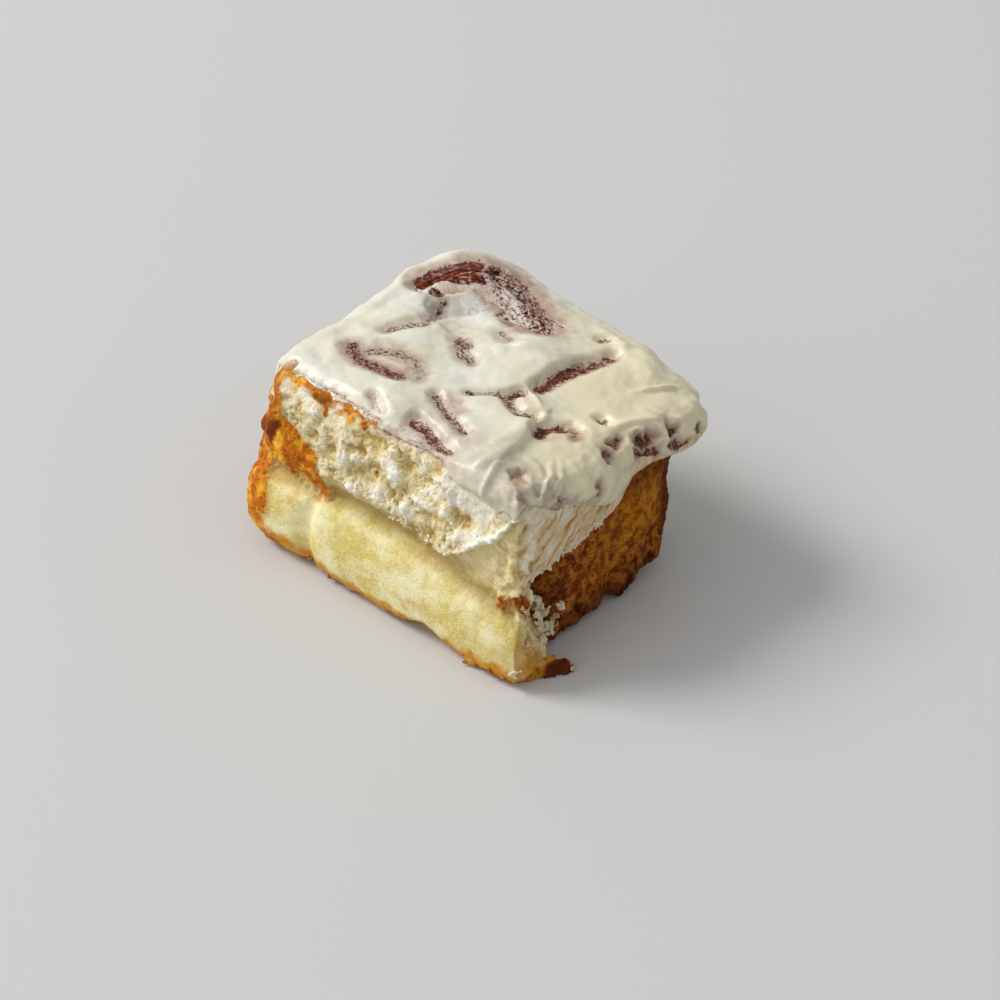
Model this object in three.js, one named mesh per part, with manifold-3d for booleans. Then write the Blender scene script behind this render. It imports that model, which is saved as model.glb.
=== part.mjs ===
// A pull-apart cinnamon roll: one strip of yeast dough wound round a sheet of cinnamon filling, baked
// against its neighbours and torn from them, with cream cheese icing spread over the top.
// Millimetres, +Z up. X runs along the long torn face, which looks to -Y. The face that looks to +X has
// lost the lower part of its outer winding, so the cinnamon filling is bare there.

import * as THREE from "three";
import { mergeVertices } from "three/addons/utils/BufferGeometryUtils.js";
import Module from "manifold-3d";

const wasm = await Module();
wasm.setup();

// The four corners of the dough seen from above, at the foot, the waist and the top. "tall" is the
// height of the dough there and "square" how sharp the corner is.
const LEFT = { foot: [-49, -43], waist: [-52.5, -45.2], top: [-48, -43.5], tall: 55.5, square: 6 };
const FRONT = { foot: [55, -46.5], waist: [52, -44.5], top: [46, -38.5], tall: 54, square: 20 };
const RIGHT = { foot: [40, 30.5], waist: [45.5, 35], top: [55, 42], tall: 49, square: 4.5 };
const BACK = { foot: [-46, 39], waist: [-49.5, 41.5], top: [-43.5, 43.5], tall: 61, square: 5 };
const WAIST_HEIGHT = 10;
const TOP_HEIGHT = 48;
const MIDDLE_HEIGHT = 30;
const TOP_EDGE_SQUARENESS = 7;
const FOOT_EDGE_SQUARENESS = 11;
const BASE_TRIM = 1;
const GRID_STEP = 3.75;
const LUMP_SIZE = [96, 80, 54];

// The outline that the swirl fills, seen from above.
const OUTLINE = { left: -46, rightNear: 52, rightFar: 46, near: -38.5, far: 33.5, square: 5.5 };

// The swirl: the filling's line seen from above, wound outwards counter-clockwise. Its distance from
// the centre is a share of the distance to the outline, and the share grows with each turn.
const SWIRL = { x: -5, y: 8, sharePerTurn: 0.27, centreTurn: 0.42 };
const FILLING = { firstTurn: 0.75, lastTurn: 4.2, step: 6.5, thickness: 1.2, foot: 1.8, top: 80 };
const SMALLEST_STEP_RADIUS = 8;
const CLEARANCE = 0.3;
const SLOT_END_LENGTH = 0.6;

// Where the bare wall starts, at its foot and under the overhang, and where it ends, in turns.
const WALL = { startLow: 3.903, startHigh: 3.885, end: 4.17, ragged: 0.004, raggedWaves: 9 };
const WALL_CUT_DEPTH = 20;
const WALL_CUT_CELLS = [3, 14, 8];
// The torn edge over the wall: its height at the near end, the slow rise, the step and the fall behind.
const OVERHANG = { near: 27.5, rise: 5.5, step: 9, fall: 3, droop: 0.15 };

// Relief of the top, in plan: a crown on each winding, a crest, a dip and the heart of the swirl.
const COIL_CROWN = 2;
const ICED_CROWN = 0.7;
const CROWN_ROUNDNESS = 0.6;
const CROWN_MIDDLE = 0.75;
const CREST = { x: -33, y: 27, height: 5, reachX: 14, reachY: 14 };
const DIP = { x: -24, y: 12, height: -5, reachX: 9, reachY: 7 };
const HEART = { x: 6, y: 10, height: 2.5, reachX: 10, reachY: 9 };

// Relief of the long torn face: the soft lower bulge with a fold, the crease over it, the torn flap that
// crosses the crumb, a hollow under the icing and the uneven crumb.
const BULGE = { middle: 10, halfHeight: 16, height: 3 };
const FOLD = { x: -23, reach: 3, share: 0.75, top: 22 };
const CREASE = { height: 26.5, drop: 5, from: 28, to: 50, depth: 2.2, reach: 2.6 };
const FLAP = { x: 26, z: 30, slope: Math.PI / 6, height: 1.6, reach: 2.6, length: 15 };
const HOLLOW = { x: 12, z: 46, depth: 1.6, reachX: 8, reachZ: 7 };
const CRUMB = { height: 0.7, waveX: 4.4, waveZ: 4.6, shearX: 6, shearZ: 9, fade: 8 };

// The foot of the long face is lifted off the plate in a low arch.
const ARCH = { x: 21, reach: 6, height: 4, front: -37, depth: 4, top: 7 };

// The crust tongue that lies at the foot of the front corner: a line seen from above, and its half width
// and height where it leaves the corner and at its tip.
const TONGUE = { line: [49, -38, 59.5, -29], halfWidth: 5, height: 7, tipHalfWidth: 1.5, tipHeight: 1.3 };
const TONGUE_CELLS = [6, 8, 2];
const TONGUE_ROUNDNESS = 0.96;

// Relief of the other faces: the flare at the foot of the front corner and the strands over the wall,
// the seam and bulge of the back, and the waves of the left-hand face.
const FLARE = { y: -44, reach: 8, length: 4, low: 14, high: 24 };
const STRANDS = { y: -20, reach: 18, height: 1.6, low: 26, high: 34 };
const BACK_BULGE = { z: 13, reach: 9, height: 1.5 };
const BACK_SEAM = { z: 29, reach: 4, height: -1.8 };
const LEFT_SEAM = { z: 38, reach: 5, height: -1.2 };
const SIDE_WAVES = { height: 0.75, wave: 6.5 };

// The icing: its thickness at the left and the right, the lower edge on each side, and its lumps.
const THIN_ICING = 2;
const THICK_ICING = 3;
const NO_ICING = -1;
const ICING_FLOOR = 34;
const ICING_WAVES = { height: 0.45, wave: 5.5, shear: 10 };
const ICING_TAPER = { below: 2, above: 6 };
const FRONT_EDGE = { height: 52, drop: 7, from: 12, to: 34, waves: 1.5, wave: 4 };
const BACK_EDGE = { height: 44, waves: 3, wave: 8, dripX: 20, drip: 3, dripReach: 8 };
const LEFT_EDGE = { height: 48, waves: 3, wave: 6, dripY: -34, drip: 6, dripReach: 5 };
const RIGHT_EDGE = { height: 47, drop: 9, step: 5, fall: 3, waves: 1.5, wave: 3.5 };
const STREAK_FADE = 3;
const BARE_STREAKS = [
  { line: [-21, 28, 0, 24], halfWidth: 2.5 },
  { line: [-35, 15, -27, 23], halfWidth: 1.5 },
];
const ICING_LUMPS = [
  { line: [29, -15, 30, -33], halfWidth: 0.5, height: 1.2 },
  { line: [46, 8, 47, 27], halfWidth: 2, height: 1.5 },
  { line: [24, 37, 36, 27], halfWidth: 1, height: 1.2 },
  { line: [-42, 14, -42, -2], halfWidth: 3, height: 1.5 },
];

const FULL_TURN = 2 * Math.PI;
const clamp = THREE.MathUtils.clamp;
const smooth = THREE.MathUtils.smoothstep;
const lerp = THREE.MathUtils.lerp;
const bump = (x, middle, width) => Math.exp(-(((x - middle) / width) ** 2));
const mound = (x, y, form) => form.height * bump(x, form.x, form.reachX) * bump(y, form.y, form.reachY);

// A value given at the four corners, at u and v between -1 and 1.
function acrossCorners(u, v, value) {
  const near = lerp(value(LEFT), value(FRONT), (1 + u) / 2);
  const far = lerp(value(BACK), value(RIGHT), (1 + u) / 2);
  return lerp(near, far, (1 + v) / 2);
}

// A corner's place seen from above, at a height.
function cornerAt(corner, axis, z) {
  const low = lerp(corner.foot[axis], corner.waist[axis], Math.sqrt(smooth(z, 0, WAIST_HEIGHT)));
  return lerp(low, corner.top[axis], smooth(z, WAIST_HEIGHT, TOP_HEIGHT));
}

// Distance from the swirl's centre to the outline, in a direction seen from above.
function reach(angle) {
  let inside = 0;
  let outside = 140;
  for (let i = 0; i < 30; i++) {
    const middle = (inside + outside) / 2;
    const y = SWIRL.y + middle * Math.sin(angle);
    const back = (y - OUTLINE.near) / (OUTLINE.far - OUTLINE.near);
    const right = lerp(OUTLINE.rightNear, OUTLINE.rightFar, clamp(back, 0, 1));
    const half = (right - OUTLINE.left) / 2;
    const across = (SWIRL.x + middle * Math.cos(angle) - OUTLINE.left) / half - 1;
    const along = 2 * back - 1;
    if (Math.abs(across) ** OUTLINE.square + Math.abs(along) ** OUTLINE.square < 1) inside = middle;
    else outside = middle;
  }
  return inside;
}

// The winding that a point seen from above lies in: whole numbers are the filling's line.
function winding(x, y) {
  const angle = Math.atan2(y - SWIRL.y, x - SWIRL.x);
  const share = Math.hypot(x - SWIRL.x, y - SWIRL.y) / reach(angle);
  return share / SWIRL.sharePerTurn + SWIRL.centreTurn - angle / FULL_TURN;
}

// How far the top stands above the plain height between the corners.
function topRelief(x, y, crownHeight) {
  const part = winding(x, y) - Math.floor(winding(x, y));
  const crown = crownHeight * (Math.sin(Math.PI * part) ** CROWN_ROUNDNESS - CROWN_MIDDLE);
  return crown + mound(x, y, CREST) + mound(x, y, DIP) + mound(x, y, HEART);
}

// How far the torn front face stands out.
function frontRelief(x, z) {
  const creaseAt = CREASE.height - CREASE.drop * smooth(x, CREASE.from, CREASE.to);
  const low = clamp(1 - ((z - BULGE.middle) / BULGE.halfHeight) ** 2, 0, 1);
  const folded = z < FOLD.top ? FOLD.share * bump(x, FOLD.x, FOLD.reach) : 0;
  const bulge = BULGE.height * Math.sqrt(low) * (1 - folded);
  const crease = -CREASE.depth * bump(z, creaseAt, CREASE.reach);
  const flapAcross = (x - FLAP.x) * Math.sin(FLAP.slope) - (z - FLAP.z) * Math.cos(FLAP.slope);
  const flapAlong = (x - FLAP.x) * Math.cos(FLAP.slope) + (z - FLAP.z) * Math.sin(FLAP.slope);
  const flap = FLAP.height * bump(flapAcross, 0, FLAP.reach) * bump(flapAlong, 0, FLAP.length);
  const hollow = -HOLLOW.depth * bump(x, HOLLOW.x, HOLLOW.reachX) * bump(z, HOLLOW.z, HOLLOW.reachZ);
  const waves = Math.sin(x / CRUMB.waveX + z / CRUMB.shearX) * Math.sin(z / CRUMB.waveZ - x / CRUMB.shearZ);
  const crumb = CRUMB.height * waves * smooth(z, creaseAt, creaseAt + CRUMB.fade);
  return bulge + crease + flap + hollow + crumb;
}

// How far a side stands out. The direction that it looks to is given seen from above.
function sideRelief(x, y, z, outX, outY) {
  if (outY < -Math.abs(outX)) return frontRelief(x, z);
  const band = (form) => form.height * bump(z, form.z, form.reach);
  const waves = (along) => SIDE_WAVES.height * Math.sin(along / SIDE_WAVES.wave);
  if (outY > Math.abs(outX)) return band(BACK_BULGE) + band(BACK_SEAM) + waves(x);
  if (outX < 0) return band(LEFT_SEAM) + waves(y);
  const flare = FLARE.length * bump(y, FLARE.y, FLARE.reach) * (1 - smooth(z, FLARE.low, FLARE.high));
  const strands = STRANDS.height * bump(y, STRANDS.y, STRANDS.reach);
  return flare + strands * smooth(z, STRANDS.low, STRANDS.high);
}

// A point of the dough's surface, from a point of the cube whose corners are at -1 and 1.
function doughPoint(cube, crownHeight, target) {
  const ring = Math.max(Math.abs(cube.x), Math.abs(cube.y));
  const square = acrossCorners(cube.x, cube.y, (corner) => corner.square);
  const plan = (Math.abs(cube.x) ** square + Math.abs(cube.y) ** square) ** (1 / square);
  const edgeSquareness = cube.z > 0 ? TOP_EDGE_SQUARENESS : FOOT_EDGE_SQUARENESS;
  const edge = (ring ** edgeSquareness + Math.abs(cube.z) ** edgeSquareness) ** (-1 / edgeSquareness);
  const pull = ring > 0 ? (ring / plan) * edge : edge;
  const u = cube.x * pull;
  const v = cube.y * pull;
  const planX = acrossCorners(u, v, (corner) => cornerAt(corner, 0, MIDDLE_HEIGHT));
  const planY = acrossCorners(u, v, (corner) => cornerAt(corner, 1, MIDDLE_HEIGHT));
  const tall = acrossCorners(u, v, (corner) => corner.tall) + topRelief(planX, planY, crownHeight);
  const z = Math.max(0, ((1 + cube.z * edge) / 2) * (tall + BASE_TRIM) - BASE_TRIM);
  const x = acrossCorners(u, v, (corner) => cornerAt(corner, 0, z));
  const y = acrossCorners(u, v, (corner) => cornerAt(corner, 1, z));
  const slopeX = Math.sign(u) * Math.abs(u) ** (square - 1);
  const slopeY = Math.sign(v) * Math.abs(v) ** (square - 1);
  const slope = Math.hypot(slopeX, slopeY) || 1;
  const outX = slopeX / slope;
  const outY = slopeY / slope;
  const out = sideRelief(x, y, z, outX, outY) * smooth(ring, 0.6, 1);
  const lifted = ARCH.height * bump(x, ARCH.x, ARCH.reach) * smooth(-y, -ARCH.front, ARCH.depth - ARCH.front);
  return target.set(x + outX * out, y + outY * out, z + lifted * (1 - smooth(z, 0, ARCH.top)));
}

// A closed surface as a solid.
function solidOf(geometry) {
  return new wasm.Manifold(
    new wasm.Mesh({
      numProp: 3,
      vertProperties: geometry.attributes.position.array,
      triVerts: new Uint32Array(geometry.index.array),
    }),
  );
}

// A cube from -1 to 1, cut into cells, whose surface is moved point by point.
function shapedCube(cells, place) {
  const box = new THREE.BoxGeometry(2, 2, 2, ...cells);
  box.deleteAttribute("normal");
  box.deleteAttribute("uv");
  const geometry = mergeVertices(box, 1e-4);
  const position = geometry.attributes.position;
  const cube = new THREE.Vector3();
  const point = new THREE.Vector3();
  for (let i = 0; i < position.count; i++) {
    place(cube.fromBufferAttribute(position, i), point);
    position.setXYZ(i, point.x, point.y, point.z);
  }
  return geometry;
}

// The dough as one uncut lump, grown outwards by a distance that may differ from place to place.
function lump(crownHeight, growth) {
  const cells = LUMP_SIZE.map((length) => Math.round(length / GRID_STEP));
  const geometry = shapedCube(cells, (cube, point) => doughPoint(cube, crownHeight, point));
  geometry.computeVertexNormals();
  const position = geometry.attributes.position;
  const normal = geometry.attributes.normal;
  const point = new THREE.Vector3();
  const out = new THREE.Vector3();
  for (let i = 0; i < position.count; i++) {
    point.fromBufferAttribute(position, i);
    out.fromBufferAttribute(normal, i);
    point.addScaledVector(out, growth(point, out));
    position.setXYZ(i, point.x, point.y, point.z);
  }
  geometry.deleteAttribute("normal");
  return solidOf(geometry);
}

// Distance of the filling's line from the swirl's centre, at a turn.
function lineRadius(turn) {
  return SWIRL.sharePerTurn * (turn - SWIRL.centreTurn) * reach(FULL_TURN * turn);
}

// A point beside the filling's line: a turn, a distance outwards and a height.
function besideLine(turn, outwards, z, target) {
  const angle = FULL_TURN * turn;
  const radius = lineRadius(turn) + outwards;
  return target.set(SWIRL.x + radius * Math.cos(angle), SWIRL.y + radius * Math.sin(angle), z);
}

// A sheet that stands on the filling's line, made longer at both ends by a length.
function sheet(thickness, bottom, longer) {
  const turnsFor = (turn, length) => length / Math.max(lineRadius(turn), 1) / FULL_TURN;
  const turns = [FILLING.firstTurn - turnsFor(FILLING.firstTurn, longer)];
  let turn = FILLING.firstTurn;
  while (turn < FILLING.lastTurn) {
    turns.push(turn);
    turn += FILLING.step / Math.max(lineRadius(turn), SMALLEST_STEP_RADIUS) / FULL_TURN;
  }
  turns.push(FILLING.lastTurn + turnsFor(FILLING.lastTurn, longer));
  if (longer === 0) turns.shift();
  const steps = turns.length - 1;
  return solidOf(
    shapedCube([1, steps, 1], (cube, point) => {
      const at = turns[Math.round(((1 + cube.y) / 2) * steps)];
      besideLine(at, (cube.x * thickness) / 2, cube.z > 0 ? FILLING.top : bottom, point);
    }),
  );
}

// Height of the torn edge over the bare wall.
function overhangAt(y) {
  const rise = OVERHANG.rise * clamp((y + 35) / 27, 0, 1);
  return OVERHANG.near + rise + OVERHANG.step * smooth(y, -3, 5) - OVERHANG.fall * smooth(y, 8, 24);
}

// The lower part of the outer winding that has come away from the +X face.
function tornAway() {
  return solidOf(
    shapedCube(WALL_CUT_CELLS, (cube, point) => {
      const up = (1 + cube.z) / 2;
      const outwards = ((1 + cube.x) / 2) * WALL_CUT_DEPTH;
      const start = lerp(WALL.startLow, WALL.startHigh, up) + WALL.ragged * Math.sin(WALL.raggedWaves * up);
      besideLine(lerp(start, WALL.end, (1 + cube.y) / 2), outwards, 0, point);
      point.z = lerp(-1, overhangAt(point.y) + OVERHANG.droop * outwards, up);
    }),
  );
}

// The crust tongue at the foot of the front corner: flat below, round above and at its tip.
function tongue() {
  const [x0, y0, x1, y1] = TONGUE.line;
  const length = Math.hypot(x1 - x0, y1 - y0);
  return solidOf(
    shapedCube(TONGUE_CELLS, (cube, point) => {
      const along = (1 + cube.y) / 2;
      const across = cube.x * lerp(TONGUE.halfWidth, TONGUE.tipHalfWidth, along);
      const round = Math.sqrt(1 - TONGUE_ROUNDNESS * cube.x * cube.x);
      const height = round * lerp(TONGUE.height, TONGUE.tipHeight, along);
      const x = lerp(x0, x1, along) + (across * (y1 - y0)) / length;
      const y = lerp(y0, y1, along) - (across * (x1 - x0)) / length;
      point.set(x, y, (height * (1 + cube.z)) / 2);
    }),
  );
}

// How near a point seen from above is to a streak, from 1 on it to 0 away from it.
function nearStreak(point, streak) {
  const [x0, y0, x1, y1] = streak.line;
  const length = Math.hypot(x1 - x0, y1 - y0);
  const along = ((point.x - x0) * (x1 - x0) + (point.y - y0) * (y1 - y0)) / length;
  const nearest = clamp(along, 0, length) / length;
  const away = Math.hypot(point.x - lerp(x0, x1, nearest), point.y - lerp(y0, y1, nearest));
  return 1 - smooth(away, streak.halfWidth, streak.halfWidth + STREAK_FADE);
}

// Height of the icing's lower edge on the side that a point lies on.
function icingEdge(point, out) {
  const wavy = (edge, along) => edge.height + edge.waves * Math.sin(along / edge.wave);
  if (out.y < -Math.abs(out.x)) {
    return wavy(FRONT_EDGE, point.x) - FRONT_EDGE.drop * smooth(point.x, FRONT_EDGE.from, FRONT_EDGE.to);
  }
  if (out.y > Math.abs(out.x)) {
    return wavy(BACK_EDGE, point.x) - BACK_EDGE.drip * bump(point.x, BACK_EDGE.dripX, BACK_EDGE.dripReach);
  }
  if (out.x < 0) {
    return wavy(LEFT_EDGE, point.y) - LEFT_EDGE.drip * bump(point.y, LEFT_EDGE.dripY, LEFT_EDGE.dripReach);
  }
  const overStrands = wavy(RIGHT_EDGE, point.y) - RIGHT_EDGE.drop * smooth(point.y, -32, -10);
  return overStrands + RIGHT_EDGE.step * smooth(point.y, -4, 4) - RIGHT_EDGE.fall * smooth(point.y, 8, 24);
}

// How thick the icing is over a point of the dough. Less than the clearance means that it is bare.
function icingThickness(point, out) {
  const edge = icingEdge(point, out);
  const onTop = smooth(out.z, 0.5, 0.75) * smooth(point.z, ICING_FLOOR, ICING_FLOOR + 4);
  const cover = Math.max(smooth(point.z, edge - ICING_TAPER.below, edge + ICING_TAPER.above), onTop);
  const bare = Math.max(...BARE_STREAKS.map((streak) => nearStreak(point, streak)));
  const lumps = Math.max(...ICING_LUMPS.map((streak) => streak.height * nearStreak(point, streak)));
  const across = Math.sin(point.x / ICING_WAVES.wave + point.y / ICING_WAVES.shear);
  const along = Math.sin(point.y / ICING_WAVES.wave - point.x / ICING_WAVES.shear);
  const spread = lerp(THIN_ICING, THICK_ICING, smooth(point.x, -15, 35));
  const full = spread + lumps + ICING_WAVES.height * (across + along);
  return lerp(NO_ICING, full, cover * (1 - bare));
}

function asMesh(solid, name, colour, roughness) {
  const made = solid.getMesh();
  const geometry = new THREE.BufferGeometry();
  geometry.setAttribute("position", new THREE.BufferAttribute(made.vertProperties, made.numProp));
  geometry.setIndex(new THREE.BufferAttribute(made.triVerts, 1));
  const material = new THREE.MeshStandardMaterial({ color: colour, roughness, metalness: 0 });
  const mesh = new THREE.Mesh(geometry, material);
  mesh.name = name;
  return mesh;
}

const whole = lump(COIL_CROWN, () => 0);
const slot = sheet(FILLING.thickness + 2 * CLEARANCE, FILLING.foot - CLEARANCE, SLOT_END_LENGTH);
const dough = whole.subtract(tornAway()).subtract(slot).add(tongue());
const filling = sheet(FILLING.thickness, FILLING.foot, 0).intersect(whole);
const icing = lump(ICED_CROWN, icingThickness).subtract(lump(COIL_CROWN, () => CLEARANCE));

const roll = new THREE.Group();
roll.add(asMesh(dough, "dough", 0xe6cf8c, 0.85));
roll.add(asMesh(filling, "cinnamon_filling", 0x6e3d1e, 0.7));
roll.add(asMesh(icing, "icing", 0xf0e9d6, 0.35));

// The roll stands with the middle of its bounding box at the origin, seen from above.
const middle = new THREE.Box3().setFromObject(roll).getCenter(new THREE.Vector3());
roll.children.forEach((mesh) => mesh.geometry.translate(-middle.x, -middle.y, 0));

export default roll;
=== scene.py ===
import math

import bmesh
import bpy
import numpy as np
from mathutils import Matrix, Vector, noise
from mathutils.bvhtree import BVHTree


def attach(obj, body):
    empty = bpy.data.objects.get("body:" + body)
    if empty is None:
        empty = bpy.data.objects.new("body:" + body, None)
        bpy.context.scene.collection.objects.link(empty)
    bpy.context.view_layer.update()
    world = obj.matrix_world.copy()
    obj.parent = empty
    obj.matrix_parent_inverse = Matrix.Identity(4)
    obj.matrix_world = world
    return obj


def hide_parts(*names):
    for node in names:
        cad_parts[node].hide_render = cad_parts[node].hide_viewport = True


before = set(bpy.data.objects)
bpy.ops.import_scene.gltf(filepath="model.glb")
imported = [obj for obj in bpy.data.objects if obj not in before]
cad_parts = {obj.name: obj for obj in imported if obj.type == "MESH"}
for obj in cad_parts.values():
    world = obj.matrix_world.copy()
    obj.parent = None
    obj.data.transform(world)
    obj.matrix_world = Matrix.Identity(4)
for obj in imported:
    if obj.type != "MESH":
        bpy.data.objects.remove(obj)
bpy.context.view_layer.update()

scene = bpy.context.scene

# The camera stands where the photographer stood: over the front corner, looking down on the roll with
# a long lens. It is tilted a little to one side.
CAMERA_PLACE = (0.43815, -0.50809, 0.5010)
CAMERA_TARGET = (0.00005, 0.00501, 0.0110)
CAMERA_ROLL = math.radians(1.68)
LENS_MM = 108
SENSOR_MM = 36

camera_data = bpy.data.cameras.new("camera")
camera_data.lens = LENS_MM
camera_data.sensor_width = SENSOR_MM
camera = bpy.data.objects.new("camera", camera_data)
camera.location = CAMERA_PLACE
looking = Vector(CAMERA_TARGET) - Vector(CAMERA_PLACE)
turned = looking.to_track_quat("-Z", "Y").to_matrix().to_4x4()
camera.rotation_euler = (turned @ Matrix.Rotation(CAMERA_ROLL, 4, "Z")).to_euler()
scene.collection.objects.link(camera)
scene.camera = camera
scene.view_settings.view_transform = "Standard"


# The dough is one strip of rich yeast dough, wound up, baked tight against its neighbours and pulled
# off them. Its foot is a soft yellow bulge, the torn part over it is pale open crumb, and only what
# touched the pan or the air is browned.
MM = 0.001
DOUGH_VOXEL = 0.85
DOUGH_SMOOTHING = 6
SLOT_SEAL = 0.45
# Places on the roll are measured in millimetres from the middle of the roll without its foot tongue.
ROLL_MIDDLE = np.array([-2.249, -0.686, 0.0])


def ramp(values, low, high):
    """0 below low, 1 above high, and a soft rise between."""
    part = np.clip((values - low) / (high - low), 0, 1)
    return part * part * (3 - 2 * part)


def swell(values, middle, width):
    """1 at the middle, falling off on both sides."""
    return np.exp(-(((values - middle) / width) ** 2))


def lumps(points, size, octaves=2, shift=0.0, softness=1.0):
    """Noise between about -1 and 1, in lumps of a size in millimetres. Less softness makes it rougher."""
    places = (points / np.array(size) + shift).tolist()
    return np.array([noise.fractal(place, softness, 2.0, octaves) for place in places])


def follow(values, table):
    """The second numbers of a table's rows, read at values of the first ones."""
    return np.interp(values, *np.transpose(table))


def along_line(points, line):
    """How far each point is from a line, with a sign for its side, how far along it, and its length. Where
    the line's own points have no height, it is a line seen from above."""
    line = np.array(line, float)
    places = points[:, : line.shape[1]]
    away, along, length = np.full(len(points), 1e6), np.zeros(len(points)), 0.0
    for start, end in zip(line[:-1], line[1:]):
        run = end - start
        share = np.clip((places - start) @ run / (run @ run), 0, 1)
        offset = places - start - share[:, None] * run
        distance = np.linalg.norm(offset, axis=1)
        nearer = distance < np.abs(away)
        on_left = run[0] * offset[:, 1] > run[1] * offset[:, 0]
        away = np.where(nearer, np.where(on_left, distance, -distance), away)
        along = np.where(nearer, length + share * np.linalg.norm(run), along)
        length += np.linalg.norm(run)
    return away, along, length


def near_line(points, line, half_width, fade, wobble=0.0):
    """1 on a line and 0 away from it, made uneven by a wobble in millimetres for each point."""
    away = np.abs(along_line(points + np.reshape(wobble, (-1, 1)), line)[0])
    return 1 - ramp(away, half_width, half_width + fade)


def merged(node_name, growth=0.0):
    """A merged copy of a CAD node, grown outwards by a distance in millimetres."""
    shape = bmesh.new()
    shape.from_mesh(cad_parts[node_name].data)
    bmesh.ops.remove_doubles(shape, verts=shape.verts, dist=1e-6)
    shape.normal_update()
    for vertex in shape.verts:
        vertex.co += vertex.normal * growth * MM
    mesh = bpy.data.meshes.new(node_name + "_copy")
    shape.to_mesh(mesh)
    shape.free()
    return mesh


def joined(name, meshes):
    """One mesh made of several."""
    shape = bmesh.new()
    for mesh in meshes:
        shape.from_mesh(mesh)
    whole = bpy.data.meshes.new(name)
    shape.to_mesh(whole)
    shape.free()
    return whole


def placed(name, mesh):
    mesh.shade_smooth()
    made = bpy.data.objects.new(name, mesh)
    scene.collection.objects.link(made)
    return made


def fine_skin(name, mesh, voxel, smoothing):
    """One even skin of small faces over a closed mesh, eased by some rounds of smoothing."""
    rough = placed(name + "_rough", mesh)
    remesh = rough.modifiers.new("skin", "REMESH")
    remesh.mode = "VOXEL"
    remesh.voxel_size = voxel * MM
    ease = rough.modifiers.new("ease", "SMOOTH")
    ease.factor = 0.5
    ease.iterations = smoothing
    bpy.context.view_layer.update()
    seen = rough.evaluated_get(bpy.context.evaluated_depsgraph_get())
    skin = bpy.data.meshes.new_from_object(seen)
    skin.name = name
    bpy.data.objects.remove(rough)
    return placed(name, skin)


def refine(mesh, chosen):
    """Cuts in four each face whose corners are all chosen."""
    shape = bmesh.new()
    shape.from_mesh(mesh)
    edges = {edge for face in shape.faces if all(chosen[v.index] for v in face.verts) for edge in face.edges}
    bmesh.ops.subdivide_edges(shape, edges=list(edges), cuts=1, use_grid_fill=True)
    shape.to_mesh(mesh)
    shape.free()


def measured(mesh):
    """The places of a mesh's vertices in millimetres on the roll, and their normals."""
    places = np.empty(len(mesh.vertices) * 3)
    normals = np.empty(len(mesh.vertices) * 3)
    mesh.vertices.foreach_get("co", places)
    mesh.vertices.foreach_get("normal", normals)
    return places.reshape(-1, 3) / MM - ROLL_MIDDLE, normals.reshape(-1, 3)


def metres(points):
    """Places on the roll as places in the frame."""
    return (points + ROLL_MIDDLE) * MM


def write(mesh, points, lowest=-np.inf):
    """Moves a mesh's vertices to places on the roll, none of them under a lowest height."""
    points[:, 2] = np.maximum(points[:, 2], lowest)
    mesh.vertices.foreach_set("co", metres(points).ravel())
    mesh.update()


def skin_tree(mesh):
    """A mesh's faces, for finding the nearest place on them."""
    return BVHTree.FromPolygons([v.co[:] for v in mesh.vertices], [f.vertices[:] for f in mesh.polygons])


def mark(mesh, name, values):
    """Keeps a value from 0 to 1 for each vertex, for the material to read."""
    layer = mesh.attributes.new(name, "FLOAT", "POINT")
    layer.data.foreach_set("value", np.clip(values, 0, 1).astype(np.float32))


sealed = joined("dough_whole", [merged("dough"), merged("cinnamon_filling", SLOT_SEAL)])
dough = fine_skin("dough_crumb", sealed, DOUGH_VOXEL, DOUGH_SMOOTHING)
at, out = measured(dough.data)
x, y, z = at.T
rough_front = (out[:, 1] < -0.3) & (y < -28) & (z > 20)
rough_strands = (out[:, 0] > 0.3) & (y < -4) & (x > 38) & ((z > 24) | (y < -22))
refine(dough.data, rough_front | rough_strands)
at, out = measured(dough.data)
x, y, z = at.T

# Which way each place looks.
front = ramp(-out[:, 1], 0.35, 0.7) * ramp(-y, 22, 32)
right = ramp(out[:, 0], 0.35, 0.7) * ramp(x, 25, 35)
back = ramp(out[:, 1], 0.35, 0.7) * ramp(y, 22, 32)
left = ramp(-out[:, 0], 0.35, 0.7) * ramp(-x, 30, 40)
top = ramp(out[:, 2], 0.5, 0.8) * ramp(z, 38, 44)
under = ramp(-out[:, 2], 0.5, 0.8) * ramp(-z, -4, -1)

broad = lumps(at, 9.0, 2)
middling = lumps(at, 3.2, 3, 7.3)
small = lumps(at, 1.3, 2, 3.1)

# Heights along the front, each at a distance across: the torn lip, the crease under it and the browned
# rim. The patch is how far to the right the browned part reaches at each height, and the overhang is the
# strands' lower edge at each distance back. The fold, a line in space, parts the bulge in two.
LIP = [(-24, 29.5), (-16, 33.0), (-10.6, 31.6), (-5, 31), (0, 30.4), (4, 29.4), (8.9, 28), (13, 27.6),
       (18.5, 27.6), (22.7, 28.4), (28.3, 31.2), (33.9, 35), (38.1, 38.6), (40.6, 42), (43.4, 46.6)]
CREASE = [(-50, 24), (-33, 25.8), (-11.4, 26.6), (9.2, 26.2), (18.3, 25.2), (25.7, 23.9), (35.7, 22.6),
          (48, 20)]
RIM = [(-36, 46), (-31, 50), (-23, 48.5), (-20, 46.5), (-15, 51), (-9, 50.5), (-6, 56)]
PATCH = [(23, -18), (28, -19.5), (31.3, -20.8), (32.5, -23.6), (36.5, -22.7), (38.6, -26.5), (42.3, -31),
         (44.4, -35.4), (46, -44)]
OVERHANG = [(-36, 24), (-34, 26), (-24, 30), (-19, 32), (-9, 35)]
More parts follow.
